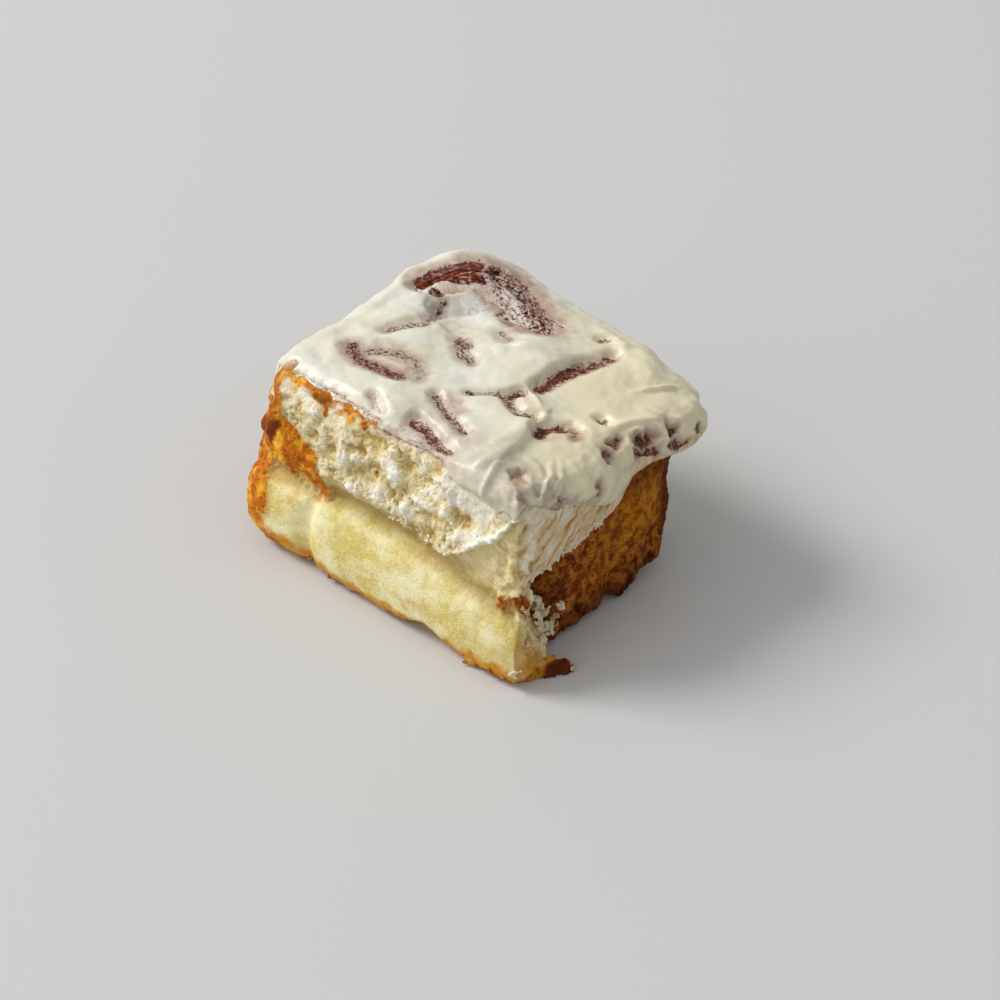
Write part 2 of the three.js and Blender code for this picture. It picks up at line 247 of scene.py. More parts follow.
FOLD = [(-23, -39.7, 26.4), (-22.2, -42, 24), (-23.5, -43.5, 18.8), (-24.4, -43.9, 13.8), (-24, -43, 2)]
above_lip = z - follow(x, LIP) + 1.1 * middling + 0.7 * small
above_crease = z - follow(x, CREASE) + 0.3 * small
above_strand_edge = z - follow(y, OVERHANG)

ragged = 0.9 * middling + 0.9 * small
within_patch = follow(z, PATCH) - x + ragged
patch = ramp(within_patch, -0.4, 0.8) * ramp(z + 0.9 * ragged + 0.12 * (x + 30), 25.4, 27.2)
patch *= 0.7 + 0.3 * ramp(z + broad, 27, 32)
strip = ramp(-x + 2.5 * broad + ragged, 37.0, 42.0) * ramp(-z, -33, -26)
rim = ramp(z - follow(x, RIM) + 1.6 * middling + small, 0.0, 1.2) * ramp(-x, 5, 8)
# The rolled-up bits of crust at the left end of the rim.
KNOB = [(-40.5, -32.8, 55), (-40.5, -36, 51), (-37.5, -38.5, 47.5), (-38.5, -38.5, 44)]
LOW_KNOB = [(-47, -36, 37), (-43, -38.6, 38), (-40, -39, 40.5)]
knob = near_line(at, KNOB, 1.5, 2.2, 0.7 * middling)
low_knob = near_line(at, LOW_KNOB, 1.2, 2.4, 0.7 * middling)
# Where the rim touched the air it is browned in spots: the line and half its width.
RIM_SPOTS = [
    ([(-28.5, -36.4, 54.9), (-23.5, -36.6, 53.3)], 1.0),
    ([(-22.6, -37.2, 51.6), (-22, -37.6, 50.6)], 0.2),
    ([(-16.0, -36.5, 54.2), (-13.5, -36.6, 52.3)], 0.8),
    ([(-11, -36.4, 53.4), (-9.3, -36.3, 51.8)], 0.3),
]
rim_spots = np.zeros(len(at))
for line, half_width in RIM_SPOTS:
    rim_spots = np.maximum(rim_spots, near_line(at, line, half_width, 2.2, 0.8 * middling))
front_crust = front * np.maximum.reduce([patch, 0.36 * rim, rim_spots])
front_crust = np.maximum(front_crust, np.clip(front + left, 0, 1) * strip)
torn_front = front * ramp(above_lip, -0.5, 0.6) * (1 - front_crust)
stretched = front * ramp(above_crease, -0.2, 0.8) * (1 - front_crust) * (1 - torn_front)
strands = ramp(x, 34, 41) * ramp(-y, -5, 2) * ramp(above_strand_edge, -1.5, 0.0) * (1 - top) * (1 - front)
# A yellow streak of untorn dough runs down the corner.
CORNER_STREAK = [(42.6, -36.4, 40), (43.6, -36.8, 36), (44.4, -37, 32)]
corner_streak = near_line(at, CORNER_STREAK, 0.5, 2.2, 0.5 * middling)
stretched *= 1 - 0.85 * corner_streak
strands *= 1 - 0.85 * corner_streak
pillar = right * ramp(-y, 20, 24) * (1 - strands)
pillar_crumb = pillar * ramp(y + 2.2 * middling, -41.5, -38.5)
torn_back = back * ramp(z + 1.2 * middling, 27, 30)
torn = np.maximum.reduce([torn_front, torn_back, pillar_crumb]) * (1 - knob)

# Where it is browned, and where it is only golden. Left of the fold the deeper gold is painted shade.
at_left = ramp(-x, 18, 44)
foot_edge = ramp(-z - 1.5 * middling, -8.5 - 6 * ramp(-x, 10, 35), -2.0) * (1 - under)
browned_foot = ramp(-z - 1.5 * middling, -3.2 - 5 * at_left, -1.2 - 3.2 * at_left) * (1 - under) * (1 - right)
fringe = ramp(-z - 0.8 * middling, -3.2, -1.2) * (1 - under) * (1 - right)
tip = ramp(x + middling, 51.5, 54) * ramp(-z, -6, -3)
smudge = np.maximum(near_line(at, [(14.7, -45.2, 9.3), (20, -45, 12)], 1.5, 4.0, 1.5 * middling),
                    near_line(at, [(-7, -45, 6.5), (-3, -44.5, 4)], 1.0, 3.5, 1.5 * middling))
ORANGE_CRUMB = [(43.5, -40, 22.8), (46.5, -38, 23.6), (48.4, -37.4, 23)]
orange_crumb = near_line(at, ORANGE_CRUMB, 1.4, 1.8, 1.2 * middling + 0.6 * small)
speck = near_line(at, [(-3.2, -38.8, 40.6), (-2.8, -38.8, 39.6)], 0.3, 0.5)
rim_zone = ramp(-y, 31, 34) * ramp(-x, 2, 9)
rim_under = right * ramp(y, -6, 0) * ramp(z + middling, 33, 36)
crust = np.maximum.reduce([
    front_crust, left * (0.85 + 0.2 * broad), 0.9 * top, under, 0.9 * browned_foot, 0.75 * orange_crumb,
    0.9 * knob, low_knob, tip, speck, 0.5 * pillar * ramp(middling + small, 0.1, 1.2),
])
beside_bulge = front * ramp(-z, -27, -20)
GOLDEN_RIM = [(10.5, -34.5, 53), (14.5, -34.8, 52.4), (16.4, -35.3, 49.5)]
GOLDEN_CORNER = [(38, -36.8, 46.5), (40.4, -36.8, 48), (42.5, -36, 47.6)]
gold_and_fold_shade = np.maximum.reduce([
    1.35 * foot_edge,
    1.1 * beside_bulge * ramp(-x + 3 * broad + middling, 30, 45),
    # Painted shade: deeper gold left of the fold, where the bulge lies lower than beside it.
    0.35 * beside_bulge * ramp(-x, 23, 26),
    0.7 * left,
    0.8 * near_line(at, GOLDEN_RIM, 0.5, 2.4, 0.4 * middling),
    near_line(at, GOLDEN_CORNER, 0.7, 2.0, 0.4 * middling),
    0.5 * front * ramp(within_patch, -4, 0.5) * ramp(z, 20, 24),
    0.4 * front * rim,
    0.55 * smudge,
    0.5 * orange_crumb,
    0.5 * corner_streak,
    0.45 * pillar * ramp(broad + 1.2 * middling, -0.4, 0.8),
    pillar * (0.4 + 0.45 * ramp(3 * middling - z, -22, -4)),
])

# Torn crumb is an open web: thin raised walls round sunken pores. It is coarser in places, has tufts
# that stood up when it tore and a few hollows, and ends below in a shredded lip. The dough that
# stretched under the lip and over the wall is drawn out in fine strands. Crust is finely blistered.
rough = lumps(at, 7.0, 4, 13.0, 0.9)
wandering = at + 1.5 * np.stack([middling, broad, small], 1)
web = 1 - 2.6 * np.abs(lumps(wandering, (3.8, 3.8, 5.5), 3, 23.0, 0.7))
fine_web = 1 - 2.6 * np.abs(lumps(wandering, (1.4, 1.4, 2.2), 2, 33.0))
open_web = ramp(lumps(at, 8.0, 2, 91.0), -0.35, 0.45)
calm = np.maximum(swell(x, 7, 7) * swell(z, 45, 5), ramp(x, 22, 29)) * front
drawn_along = at @ (0.93, 0, -0.36)
drawn_across = at @ (0.36, 0, 0.93)
drawn = lumps(np.stack([drawn_along, y, drawn_across], 1), (8.0, 4.0, 1.3), 3, 1.7)
pulled_along = at @ (0, 0.75, 0.66)
pulled_across = at @ (0, -0.66, 0.75) + 1.8 * broad + 0.5 * middling
pulled = lumps(np.stack([x, pulled_along, pulled_across], 1), (2.5, 8.0, 1.5), 3, 1.7)
ravel = (1.5 * rough + (0.2 + 0.6 * open_web) * web + 0.14 * fine_web - 0.4) * (1 - 0.7 * calm)
# Tufts and hollows: the place, its radius and its height.
TUFTS = [((12, -38.5, 38.3), 1.9, 1.4), ((15.6, -38, 38.4), 1.7, 1.2), ((8, -39.2, 35.5), 1.6, 1.1),
         ((21, -38, 39.6), 2.3, 1.2), ((27, -37.5, 38.8), 2.4, -1.3), ((3.2, -38, 42.6), 2.4, 1.2),
         ((6.5, -37, 46), 2.6, -1.5), ((-9, -38.8, 43), 2.2, 1.1), ((-1, -39.5, 36), 2.0, 0.9),
         ((-14, -39.5, 39), 2.2, 0.9), ((18.5, -39.5, 35), 1.6, 1.2), ((27, -39.5, 35.6), 1.8, 1.3),
         ((32.5, -38.5, 38.6), 1.8, 1.2)]
for place, radius, rise in TUFTS:
    ravel += rise * swell(np.linalg.norm(at + 0.5 * small[:, None] - place, axis=1), 0, radius)
lip_edge = swell(above_lip, 1.0, 1.2)
facet = ramp(x, 12, 24)
corner = ramp(x, 36, 42) * ramp(-y, 29, 35) * ramp(z, 20, 24) * (1 - top)
push = torn * (ravel + 0.35) + torn_front * (0.5 + 0.6 * facet) * lip_edge
push += corner * (0.9 * middling + 0.5 * broad + 0.3 * small)
push += stretched * ((0.3 - 0.24 * facet) * drawn - 0.9 + 0.25 * facet * middling)
push += strands * (0.5 * pulled + 0.5 * middling + 0.2 * small)
push -= 1.5 * front * (1 - front_crust) * swell(above_crease, -0.3, 1.6)
push -= 0.8 * near_line(at, FOLD, 0.3, 2.6, 0.8 * broad)
push += front_crust * (0.55 + 0.5 * middling + 0.35 * small)
push += (1 - front) * (1 - 0.8 * top) * crust * (0.45 * middling + 0.25 * small)
push += (1 - torn) * (1 - crust) * (0.3 * broad + 0.12 * middling)
push += 1.8 * fringe * np.clip(1.3 * middling + 0.5 * small, -0.2, 1)
push += 0.8 * orange_crumb * (1 + small) + 1.7 * knob + 1.4 * low_knob

# Streaks where the filling shows: a line seen from above, half its width, how bare it is, and how wide
# and how strong the stain round it is.
STREAKS = [
    ([(-39.5, 17.6), (-37, 21), (-34.5, 23.5), (-32.8, 26), (-31, 28.8), (-29.5, 30.2)], 1.5, 1.0, 2.5, 0.6),
    ([(-31.8, 23.3), (-28.3, 25.9), (-25.5, 27.8)], 0.9, 0.9, 3.5, 0.6),
    ([(-34, 17), (-31.5, 16.8)], 0.7, 0.8, 1.5, 0.5),
    ([(-29, 16), (-27.3, 12.6), (-26, 8), (-25, 4.2), (-28, -1.3), (-29.1, -3.3), (-30.1, -5.4)],
     0.4, 0.6, 1.8, 0.45),
    ([(-24.5, 32.3), (-21, 34), (-16.7, 33.6), (-12.3, 32), (-8.2, 30.2), (-3.8, 28), (-1, 26)],
     2.3, 0.62, 4.5, 0.8),
    ([(-23, 29.2), (-19, 28.5), (-15.4, 27.2), (-11, 26.5), (-4, 23)], 1.0, 0.42, 4.5, 0.85),
    ([(-7.7, 16.1), (-5, 14.8), (-3, 13.4)], 0.6, 0.5, 2.5, 0.5),
    ([(-20.5, 8.3), (-17, 7.3), (-15.5, 7.8)], 0.2, 0.25, 1.5, 0.35),
    ([(-13.8, 5), (-10.3, 4.6)], 0.9, 0.75, 1.5, 0.6),
    ([(-11.5, 3), (-8.3, 0.6), (-4.5, 0)], 0.8, 0.6, 1.5, 0.6),
    ([(-27.9, -15.6), (-25.5, -13.5), (-22, -11.4), (-18.6, -11)], 0.7, 0.58, 2.5, 0.6),
    ([(-33, -16.8), (-31.2, -18.3), (-27.1, -19.8), (-22.6, -19.9), (-18.8, -19.2), (-13.8, -18)],
     1.0, 0.75, 1.8, 0.8),
    ([(-17.2, -11.3), (-14.5, -11), (-12, -12.5), (-10, -15)], 0.8, 0.4, 2.5, 0.6),
    ([(-39, -13.5), (-36, -15)], 0.3, 0.15, 2.5, 0.3),
    ([(16.3, 4.3), (16.6, 8), (16.9, 11.8), (17.6, 16.5), (18.4, 20.5)], 0.75, 1.0, 1.8, 0.5),
    ([(18.4, 20.5), (19.8, 25), (20.6, 29.2)], 0.5, 0.85, 2.2, 0.6),
    ([(5.1, -11.2), (9.6, -7.4), (12.7, -4.5), (14.5, -0.9)], 0.35, 0.85, 1.2, 0.4),
    ([(12.7, -4.5), (15.5, -6.8), (18.2, -8.4), (21.1, -9.3), (24.5, -7.5)], 0.45, 0.7, 1.2, 0.4),
    ([(-1.1, -17.7), (2.5, -19.8), (6.1, -21.7), (10.1, -22.9), (15.5, -25.1)], 0.45, 0.75, 1.2, 0.5),
    ([(4, -17), (8.5, -19)], 0.3, 0.1, 3.0, 0.6),
    ([(1.9, -29.5), (6.8, -30.2), (12.3, -32.3), (17, -32.8)], 0.5, 0.85, 1.5, 0.6),
    ([(2, -34), (13, -35)], 0.8, 0.3, 3.0, 0.6),
    ([(29.6, -11.4), (29.2, -9), (30, -6.6), (31.8, -5)], 0.7, 0.95, 1.5, 0.5),
    ([(33, -3.8), (36, -4.2), (37.6, -5.6)], 0.5, 0.45, 1.8, 0.7),
    ([(31, -11), (34, -8.5)], 0.3, 0.1, 2.8, 0.5),
    ([(36.3, 5.6), (38.6, 5.1)], 0.35, 0.8, 1.0, 0.3),
    ([(12.4, 34.6), (13.2, 35.4)], 0.6, 0.7, 0.9, 0.3),
    ([(-13.1, -29.6), (-9.7, -31.7), (-7.9, -32.1)], 0.25, 0.35, 1.0, 0.5),
]
# A streak's places are kept for the material as shares of these lengths in millimetres.
STREAK_GAP = 15.0
ACROSS_SPAN = 40.0
ALONG_SPAN = 1000.0


def along_streaks(points):
    """How far each point is from the nearest streak, with a sign for its side, and how far along it."""
    across, along, passed = np.full(len(points), 1e6), np.zeros(len(points)), 0.0
    for line, *_ in STREAKS:
        away, farther, length = along_line(points, line)
        nearer = np.abs(away) < np.abs(across)
        across = np.where(nearer, away, across)
        along = np.where(nearer, passed + farther, along)
        passed += length + STREAK_GAP
    return across, along


def wandered(points):
    """Places seen from above, shifted about by up to a millimetre, so that lines on them are uneven."""
    shifts = [lumps(points, 2.0, 2, 31.0), lumps(points, 2.0, 2, 47.0), np.zeros(len(points))]
    return points + 0.7 * np.stack(shifts, 1)


wander = wandered(at)
cinnamon = np.zeros(len(at))
for line, half_width, bareness, *_ in STREAKS:
    cinnamon = np.maximum(cinnamon, bareness * near_line(wander, line, half_width - 0.2, 2.0))
cinnamon *= top
streak_across, streak_along = along_streaks(wander)
# Valleys between the windings at the far left of the top: the line, half its width, its slope and depth.
VALLEYS = [
    ([(-29.5, 13.5), (-27.5, 16.6), (-24.6, 19.8), (-21.4, 23.6), (-19, 26)], 0.8, 3.6, 2.2),
    ([(-19, 26), (-14, 24.6), (-9, 21)], 0.4, 3.0, 1.0),
]
valley = np.zeros(len(at))
for line, half_width, slope, sunk in VALLEYS:
    valley = np.maximum(valley, sunk * near_line(at, line, half_width, slope, 0.5 * middling))

# The bare filling covers the dough wherever it is close under the surface of the right-hand side.
WALL_DEPTH = 1.2
filling_skin = skin_tree(merged("cinnamon_filling"))
near_filling = np.array([filling_skin.find_nearest(place)[3] for place in metres(at).tolist()]) / MM
walled = ramp(out[:, 0], 0.1, 0.3) * ramp(x, 30, 33) * ramp(-near_filling, -1.4, -0.9)
push = push * (1 - walled) - WALL_DEPTH * walled
push += top * (cinnamon * (0.4 * small + 0.4 * middling) - 0.3 * valley)
write(dough.data, at + out * push[:, None], 0.02)

# A thin smear of icing runs down over the crumb below the icing's edge: its foot, as distance across and
# height.
SMEAR_FOOT = [(14, 56), (17, 50), (19, 45), (21, 42), (28, 41), (33, 40), (35, 43), (38, 47)]
smear = np.maximum.reduce([
    front * ramp(x, 15, 18) * ramp(z - follow(x, SMEAR_FOOT) + 1.2 * middling, -0.8, 1.2),
    0.7 * strands * ramp(above_strand_edge - 11 + 6 * pulled, -3, 6),
    0.6 * rim_under * ramp(small + 0.5 * middling, -0.3, 0.4),
    0.9 * front * rim * ramp(middling + 0.3 * small, -0.6, 0.5) * (1 - rim_spots),
    0.9 * near_line(at, [(45.6, -31.5, 39), (46.1, -35, 32.7)], 0.5, 1.4, 0.4 * middling),
    0.5 * front * near_line(at, [(40, -42.5, 6), (42, -42, 15)], 1.0, 4.0, middling),
]) * (1 - 0.8 * knob)
# Painted shade: a darker olive tint in the crease under the torn lip, over the stretched band and on the
# corner's shaded right-hand side.
painted_shade = 0.9 * swell(above_crease, 0.5, 2.2) + (0.35 - 0.25 * facet) * stretched
painted_shade = 0.55 * pillar * (1 - torn) + front * (1 - front_crust) * painted_shade
# How raised the crumb is, for the material to paint shade in its hollows and highlight on its tufts.
raised = 0.5 + 0.4 * torn * ravel + 0.35 * torn_front * facet * lip_edge
raised += (0.5 - 0.4 * facet) * stretched * drawn + 0.5 * strands * pulled
RED_EDGE = [(-36.7, -38.8, 49), (-37.2, -39.3, 45), (-38.5, -40, 40.5), (-40.8, -40.2, 35)]
dark = np.maximum.reduce([
    0.85 * near_line(at, RED_EDGE, 0.7, 2.6, 0.9 * middling) * (1 - 0.5 * knob),
    0.55 * knob,
    0.75 * low_knob,
    0.62 * orange_crumb,
    0.85 * rim_spots * ramp(middling + broad, -0.8, 0.6),
    tip,
    0.6 * speck,
    0.5 * patch * ramp(z + 2 * middling, 38, 46),
    0.5 * left * ramp(-z - 3 * middling, -16, -2),
    0.55 * left * (1 + 0.3 * broad + 0.5 * middling),
    0.35 * foot_edge * (1 + middling),
    fringe * np.maximum(ramp(-x, 28, 40), 0.65),
])
for name, values in (
    ("crust", crust), ("torn", torn), ("stretched", stretched), ("strands", np.maximum(strands, rim_under)),
    ("painted_shade", painted_shade), ("gold_and_fold_shade", gold_and_fold_shade), ("raised", raised), ("dark", dark),
    ("cinnamon", np.maximum(cinnamon, 0.35 * rim_under)), ("top", top * (1 - rim_zone)),
    ("across", 0.5 + streak_across / ACROSS_SPAN), ("along", streak_along / ALONG_SPAN), ("smear", smear),
):
    mark(dough.data, name, values)
plain_crust = crust * (1 - cinnamon)


def linear(code):
    """A colour given as sRGB hex, turned to linear."""
    parts = [int(code[i : i + 2], 16) / 255 for i in (1, 3, 5)]
    return tuple(p / 12.92 if p <= 0.04045 else ((p + 0.055) / 1.055) ** 2.4 for p in parts) + (1.0,)


def node(tree, kind, links=()):
    """Adds a node of a kind with its settings. Its inputs go by name, or else in their order without those
    not in use. Each is given a value, a colour in hex, a socket, or a node whose first output in use is
    meant."""
    made = tree.nodes.new(kind[0])
    for name, value in kind[1].items():
        setattr(made, name, value)
    if isinstance(links, tuple):
        pairs = zip([socket for socket in made.inputs if socket.enabled], links)
    else:
        pairs = [(made.inputs[name], value) for name, value in links.items()]
    for socket, value in pairs:
        if isinstance(value, bpy.types.Node):
            value = next(output for output in value.outputs if output.enabled)
        if isinstance(value, bpy.types.NodeSocket):
            tree.links.new(value, socket)
        else:
            socket.default_value = linear(value) if isinstance(value, str) else value
    return made


# Kinds of node, each with its settings. In order, a noise takes its place, scale, detail and roughness, a
# step its value and where it starts and ends, and a mix its share and two colours.
NOISE = ("ShaderNodeTexNoise", {})
STEP = ("ShaderNodeMapRange", {"interpolation_type": "SMOOTHSTEP"})
MIX = ("ShaderNodeMix", {"data_type": "RGBA"})
PLUS = ("ShaderNodeMath", {"operation": "ADD"})
MINUS = ("ShaderNodeMath", {"operation": "SUBTRACT"})
WITHOUT_SIGN = ("ShaderNodeMath", {"operation": "ABSOLUTE"})
TIMES = ("ShaderNodeMath", {"operation": "MULTIPLY"})
TIMES_CLAMPED = ("ShaderNodeMath", {"operation": "MULTIPLY", "use_clamp": True})
TIMES_PLUS = ("ShaderNodeMath", {"operation": "MULTIPLY_ADD"})
TURNED = ("ShaderNodeMapping", {"vector_type": "TEXTURE"})
BUMP = ("ShaderNodeBump", {})
# A noise scale is this over the size of its lumps in millimetres, because coordinates are in metres.
PER_METRE = 1000


def begun(name, mesh):
    """A new material on a mesh: its node tree, the place on the piece, and the values kept on the mesh."""
    made = bpy.data.materials.new(name)
    made.use_nodes = True
    mesh.materials.append(made)
    tree = made.node_tree
    place = node(tree, ("ShaderNodeTexCoord", {})).outputs["Object"]
    names = [layer.name for layer in mesh.attributes if layer.data_type == "FLOAT"]
    kept = {name: node(tree, ("ShaderNodeAttribute", {"attribute_name": name})) for name in names}
    return tree, place, kept


def ended(tree, colour, bump, settings):
    """Gives a material its colour and its bump, and sets what is equal everywhere on it."""
    shader = tree.nodes["Principled BSDF"]
    tree.links.new(colour.outputs[2], shader.inputs["Base Color"])
    tree.links.new(bump.outputs[0], shader.inputs["Normal"])
    for name, value in settings.items():
        shader.inputs[name].default_value = value
    return shader


def filling_lines(tree, kept):
    """The filling's fine lines along each winding, about 0.6 mm apart and 3.6 mm long."""
    across = node(tree, TIMES, (kept["across"], ACROSS_SPAN / 0.6))
    along = node(tree, TIMES, (kept["along"], ALONG_SPAN / 3.6))
    line_place = node(tree, ("ShaderNodeCombineXYZ", {}), (across, along))
    return node(tree, NOISE, (line_place, 1.0, 3, 0.6))


# Baked egg dough: matt, soft and a little translucent, buttery yellow where it was under its neighbour
# and creamy white where it was pulled open, golden to dark brown where it baked against the pan.
tree, place, kept = begun("baked egg dough", dough.data)
crumb_noise, pore_noise, patch_noise, crust_noise, film_noise, web_noise = [
    node(tree, NOISE, (place, PER_METRE / size, detail, roughness)) for size, detail, roughness in
    ((2.4, 4, 0.6), (0.6, 2, 0.6), (8, 4, 0.65), (4.6, 5, 0.65), (1.0, 4, 0.6), (1.7, 3, 0.6))
]
pores = node(tree, STEP, (pore_noise, 0.35, 0.65))
patches = node(tree, STEP, (patch_noise, 0.36, 0.64))
bulge = node(tree, MIX, (patches, "#d6bf5c", "#f1e8b4"))
pale_bulge = node(tree, MIX, (0.32, bulge, "#fbf4cf"))
bulge = node(tree, MIX, (pores, bulge, pale_bulge))
# The crumb's colour carries painted shade and painted highlight: darker in its holes as painted shade, whiter
# on its tufts and on the fine walls between its pores as painted highlight.
web_noise = node(tree, WITHOUT_SIGN, (node(tree, MINUS, (web_noise, 0.5)),))
torn_web = node(tree, TIMES_PLUS, (web_noise, -6.0, 0.6))
torn_web = node(tree, TIMES, (torn_web, kept["torn"]))
crumb_part = node(tree, TIMES_PLUS, (crumb_noise, 0.7, -0.35))
crumb_part = node(tree, TIMES_PLUS, (torn_web, 0.35, crumb_part))
raised = node(tree, PLUS, (kept["raised"], crumb_part))
# Fibres about 0.9 mm thick and 9 mm long: over the wall they rise backwards, on the front they drop to
# the right.
side_fibres, front_fibres = [
    node(tree, NOISE, (node(tree, TURNED, {
        "Vector": place, "Rotation": rotation, "Scale": tuple(side * MM for side in sides)}), 1.0, 4, 0.6))
    for rotation, sides in (((0.72, 0, 0), (2.5, 9, 0.9)), ((0, 0.37, 0), (9, 3, 0.9)))
]
side_raised = node(tree, TIMES_PLUS, (side_fibres, 2.4, -1.2))
side_raised = node(tree, PLUS, (raised, side_raised))
front_raised = node(tree, TIMES_PLUS, (front_fibres, 1.2, -0.6))
front_raised = node(tree, PLUS, (raised, front_raised))
# Each kind of torn dough: how raised it is, where its hollows and its tufts start and end, and the
# colours of its hollows, its middle and its tufts. The hollows' darker colour is painted shade and the
# tufts' whiter colour is painted highlight.
torn_colours = []
for height, hollow_from, hollow_to, tuft_from, shaded_hollow_colour, middle, lit_tuft_colour in (
    (raised, 0.0, 0.6, 0.5, "#bf9f5c", "#e6d6a6", "#faf5e6"),
    (front_raised, 0.0, 0.6, 0.5, "#c8ac66", "#e6d6a2", "#f0e8c8"),
    (side_raised, -0.1, 0.5, 0.4, "#b88444", "#dcc292", "#eae0c8"),
):
    filled = node(tree, STEP, (height, hollow_from, hollow_to))
    tufted = node(tree, STEP, (height, tuft_from, 1.0))
    colour = node(tree, MIX, (filled, shaded_hollow_colour, middle))
    torn_colours.append(node(tree, MIX, (tufted, colour, lit_tuft_colour)))
torn_colour, drawn_colour, strand_colour = torn_colours
# Painted shade in the crease, over the stretched band and on the corner's shaded side.
painted_shade_share = node(tree, TIMES, (kept["painted_shade"], 0.75))
unevenness = node(tree, TIMES_PLUS, (crust_noise, 1.2, -0.6))
gilding_and_fold_shade, browning, smeared = [
    node(tree, STEP, (node(tree, PLUS, (kept[name], unevenness)), low, high))
    for name, low, high in (("gold_and_fold_shade", 0.3, 1.1), ("crust", 0.4, 0.85), ("smear", 0.15, 1.1))
]
baked = node(tree, STEP, (crust_noise, 0.36, 0.56))
burnt = node(tree, STEP, (film_noise, 0.5, 0.66))
burnt = node(tree, TIMES, (burnt, baked))
crust_colour = node(tree, MIX, (baked, "#eaa826", "#c26a0a"))
crust_colour = node(tree, MIX, (burnt, crust_colour, "#8a3f08"))
darkness = node(tree, STEP, (kept["dark"], 0.3, 1.0))
# Under the icing it is stained by the filling.
line_noise = filling_lines(tree, kept)
lined = node(tree, TIMES_PLUS, (line_noise, 1.8, -0.9))
peppered = node(tree, TIMES_PLUS, (film_noise, 1.8, -0.9))
peppered = node(tree, PLUS, (kept["cinnamon"], peppered))
peppered = node(tree, PLUS, (peppered, lined))
peppered = node(tree, STEP, (peppered, 0.2, 0.85))
grained = node(tree, PLUS, (line_noise, film_noise))
grain_tone = node(tree, STEP, (grained, 0.8, 1.15))
grains = node(tree, MIX, (grain_tone, "#8e3c10", "#3e0d03"))
film = node(tree, MIX, (patches, "#e4dccf", "#cbb0a2"))
film = node(tree, MIX, (peppered, film, grains))
smear_colour = node(tree, MIX, (patches, "#f0ead8", "#e6dcc5"))
colour = bulge
for share, layer in ((kept["stretched"], drawn_colour), (kept["strands"], strand_colour),
                     (painted_shade_share, "#a5873a"), (kept["torn"], torn_colour), (gilding_and_fold_shade, "#cf8c16"),
                     (browning, crust_colour), (darkness, "#66260a"), (kept["top"], film),
                     (smeared, smear_colour)):
    colour = node(tree, MIX, (share, colour, layer))
relief = node(tree, TIMES_PLUS, (pore_noise, 0.5, crumb_noise))
relief = node(tree, TIMES_PLUS, (torn_web, 0.5, relief))
side_relief = node(tree, TIMES, (side_fibres, kept["strands"]))
relief = node(tree, TIMES_PLUS, (side_relief, 1.5, relief))
relief = node(tree, TIMES_PLUS, (front_fibres, kept["stretched"], relief))
bump = node(tree, BUMP, {"Height": relief, "Strength": 0.7, "Distance": 0.6 * MM})
ended(tree, colour, bump, {
    "Roughness": 0.66, "IOR": 1.42, "Specular IOR Level": 0.2, "Subsurface Weight": 0.35,
    "Subsurface Radius": (1.0, 0.72, 0.4), "Subsurface Scale": 1.4 * MM,
})

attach(dough, "root")
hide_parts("dough")


# The filling is butter, brown sugar and ground cinnamon, spread on the strip before it was wound up.
# It coats the bare wall where the outer winding came away, grainy and darker where it baked dry.
WALL_VOXEL = 0.55
WALL_NEAR = 30.0
COAT_GROWTH = 0.75
COVER_REACH = 9.0
COVER_DEPTH = 1.0


def half(mesh, name, keep_far):
    """The part of a closed mesh on one side of the plane that parts the wall from the rest of the sheet."""
    part = bmesh.new()
    part.from_mesh(mesh)
    everything = part.verts[:] + part.edges[:] + part.faces[:]
    bmesh.ops.bisect_plane(part, geom=everything, plane_co=((WALL_NEAR + ROLL_MIDDLE[0]) * MM, 0, 0),
                           plane_no=(1, 0, 0), clear_inner=keep_far, clear_outer=not keep_far)
    bmesh.ops.holes_fill(part, edges=part.edges)
    made = bpy.data.meshes.new(name)
    part.to_mesh(made)
    part.free()
    return made


def evened(mesh, values, rounds):
    """Values at a mesh's vertices, drawn towards the mean of their neighbours a number of times."""
    ends = np.empty(len(mesh.edges) * 2, dtype=int)
    mesh.edges.foreach_get("vertices", ends)
    first, second = ends.reshape(-1, 2).T
    count = len(values)
    neighbours = np.bincount(ends, minlength=count)
    for _ in range(rounds):
        total = np.bincount(first, values[second], count) + np.bincount(second, values[first], count)
        values = 0.5 * values + 0.5 * total / neighbours
    return values


sheet = merged("cinnamon_filling")
wall = fine_skin("wall_skin", half(sheet, "wall_cut", True), WALL_VOXEL, 3)
at, out = measured(wall.data)
x, y, z = at.T
broad = lumps(at, 9.0, 2, 2.0)
grainy = lumps(at, 3.0, 5, 11.0, 0.5)
facing = ramp(out[:, 0], 0.0, 0.4)
skirt = (4.4 * swell(y, 8, 6) + 3.0 * swell(y, 21, 4)) * swell(z, 1, 6)
skirt -= 1.4 * swell(y, 1.0, 1.8) * ramp(-z, -19, -10)
lobes = lumps(np.stack([x, y, 0 * z], 1), 3.5, 2, 5.0) * ramp(-z, -4, -1)
above_edge = z - follow(y, OVERHANG[1:])
away_from_edge = 1 - 0.8 * ramp(above_edge, -6, -3) * ramp(-y, 5, 9)
push = COAT_GROWTH + facing * away_from_edge * (1.0 * broad + 0.6 * grainy + skirt) + 1.2 * lobes * facing
# Under the torn dough and under the icing the coat stays inside.
dough_tree = skin_tree(dough.data)
icing_tree = skin_tree(merged("icing"))
covered = np.zeros(len(at))
for number, spot in enumerate(metres(at).tolist()):
    for tree in (dough_tree, icing_tree):
        if tree.ray_cast(spot, out[number], COVER_REACH * MM)[0]:
            covered[number] = 1.0
covered = ramp(evened(wall.data, covered, 3), 0.05, 0.55)
push = push * (1 - covered) - COVER_DEPTH * covered
write(wall.data, at + out * push[:, None], 0.05)
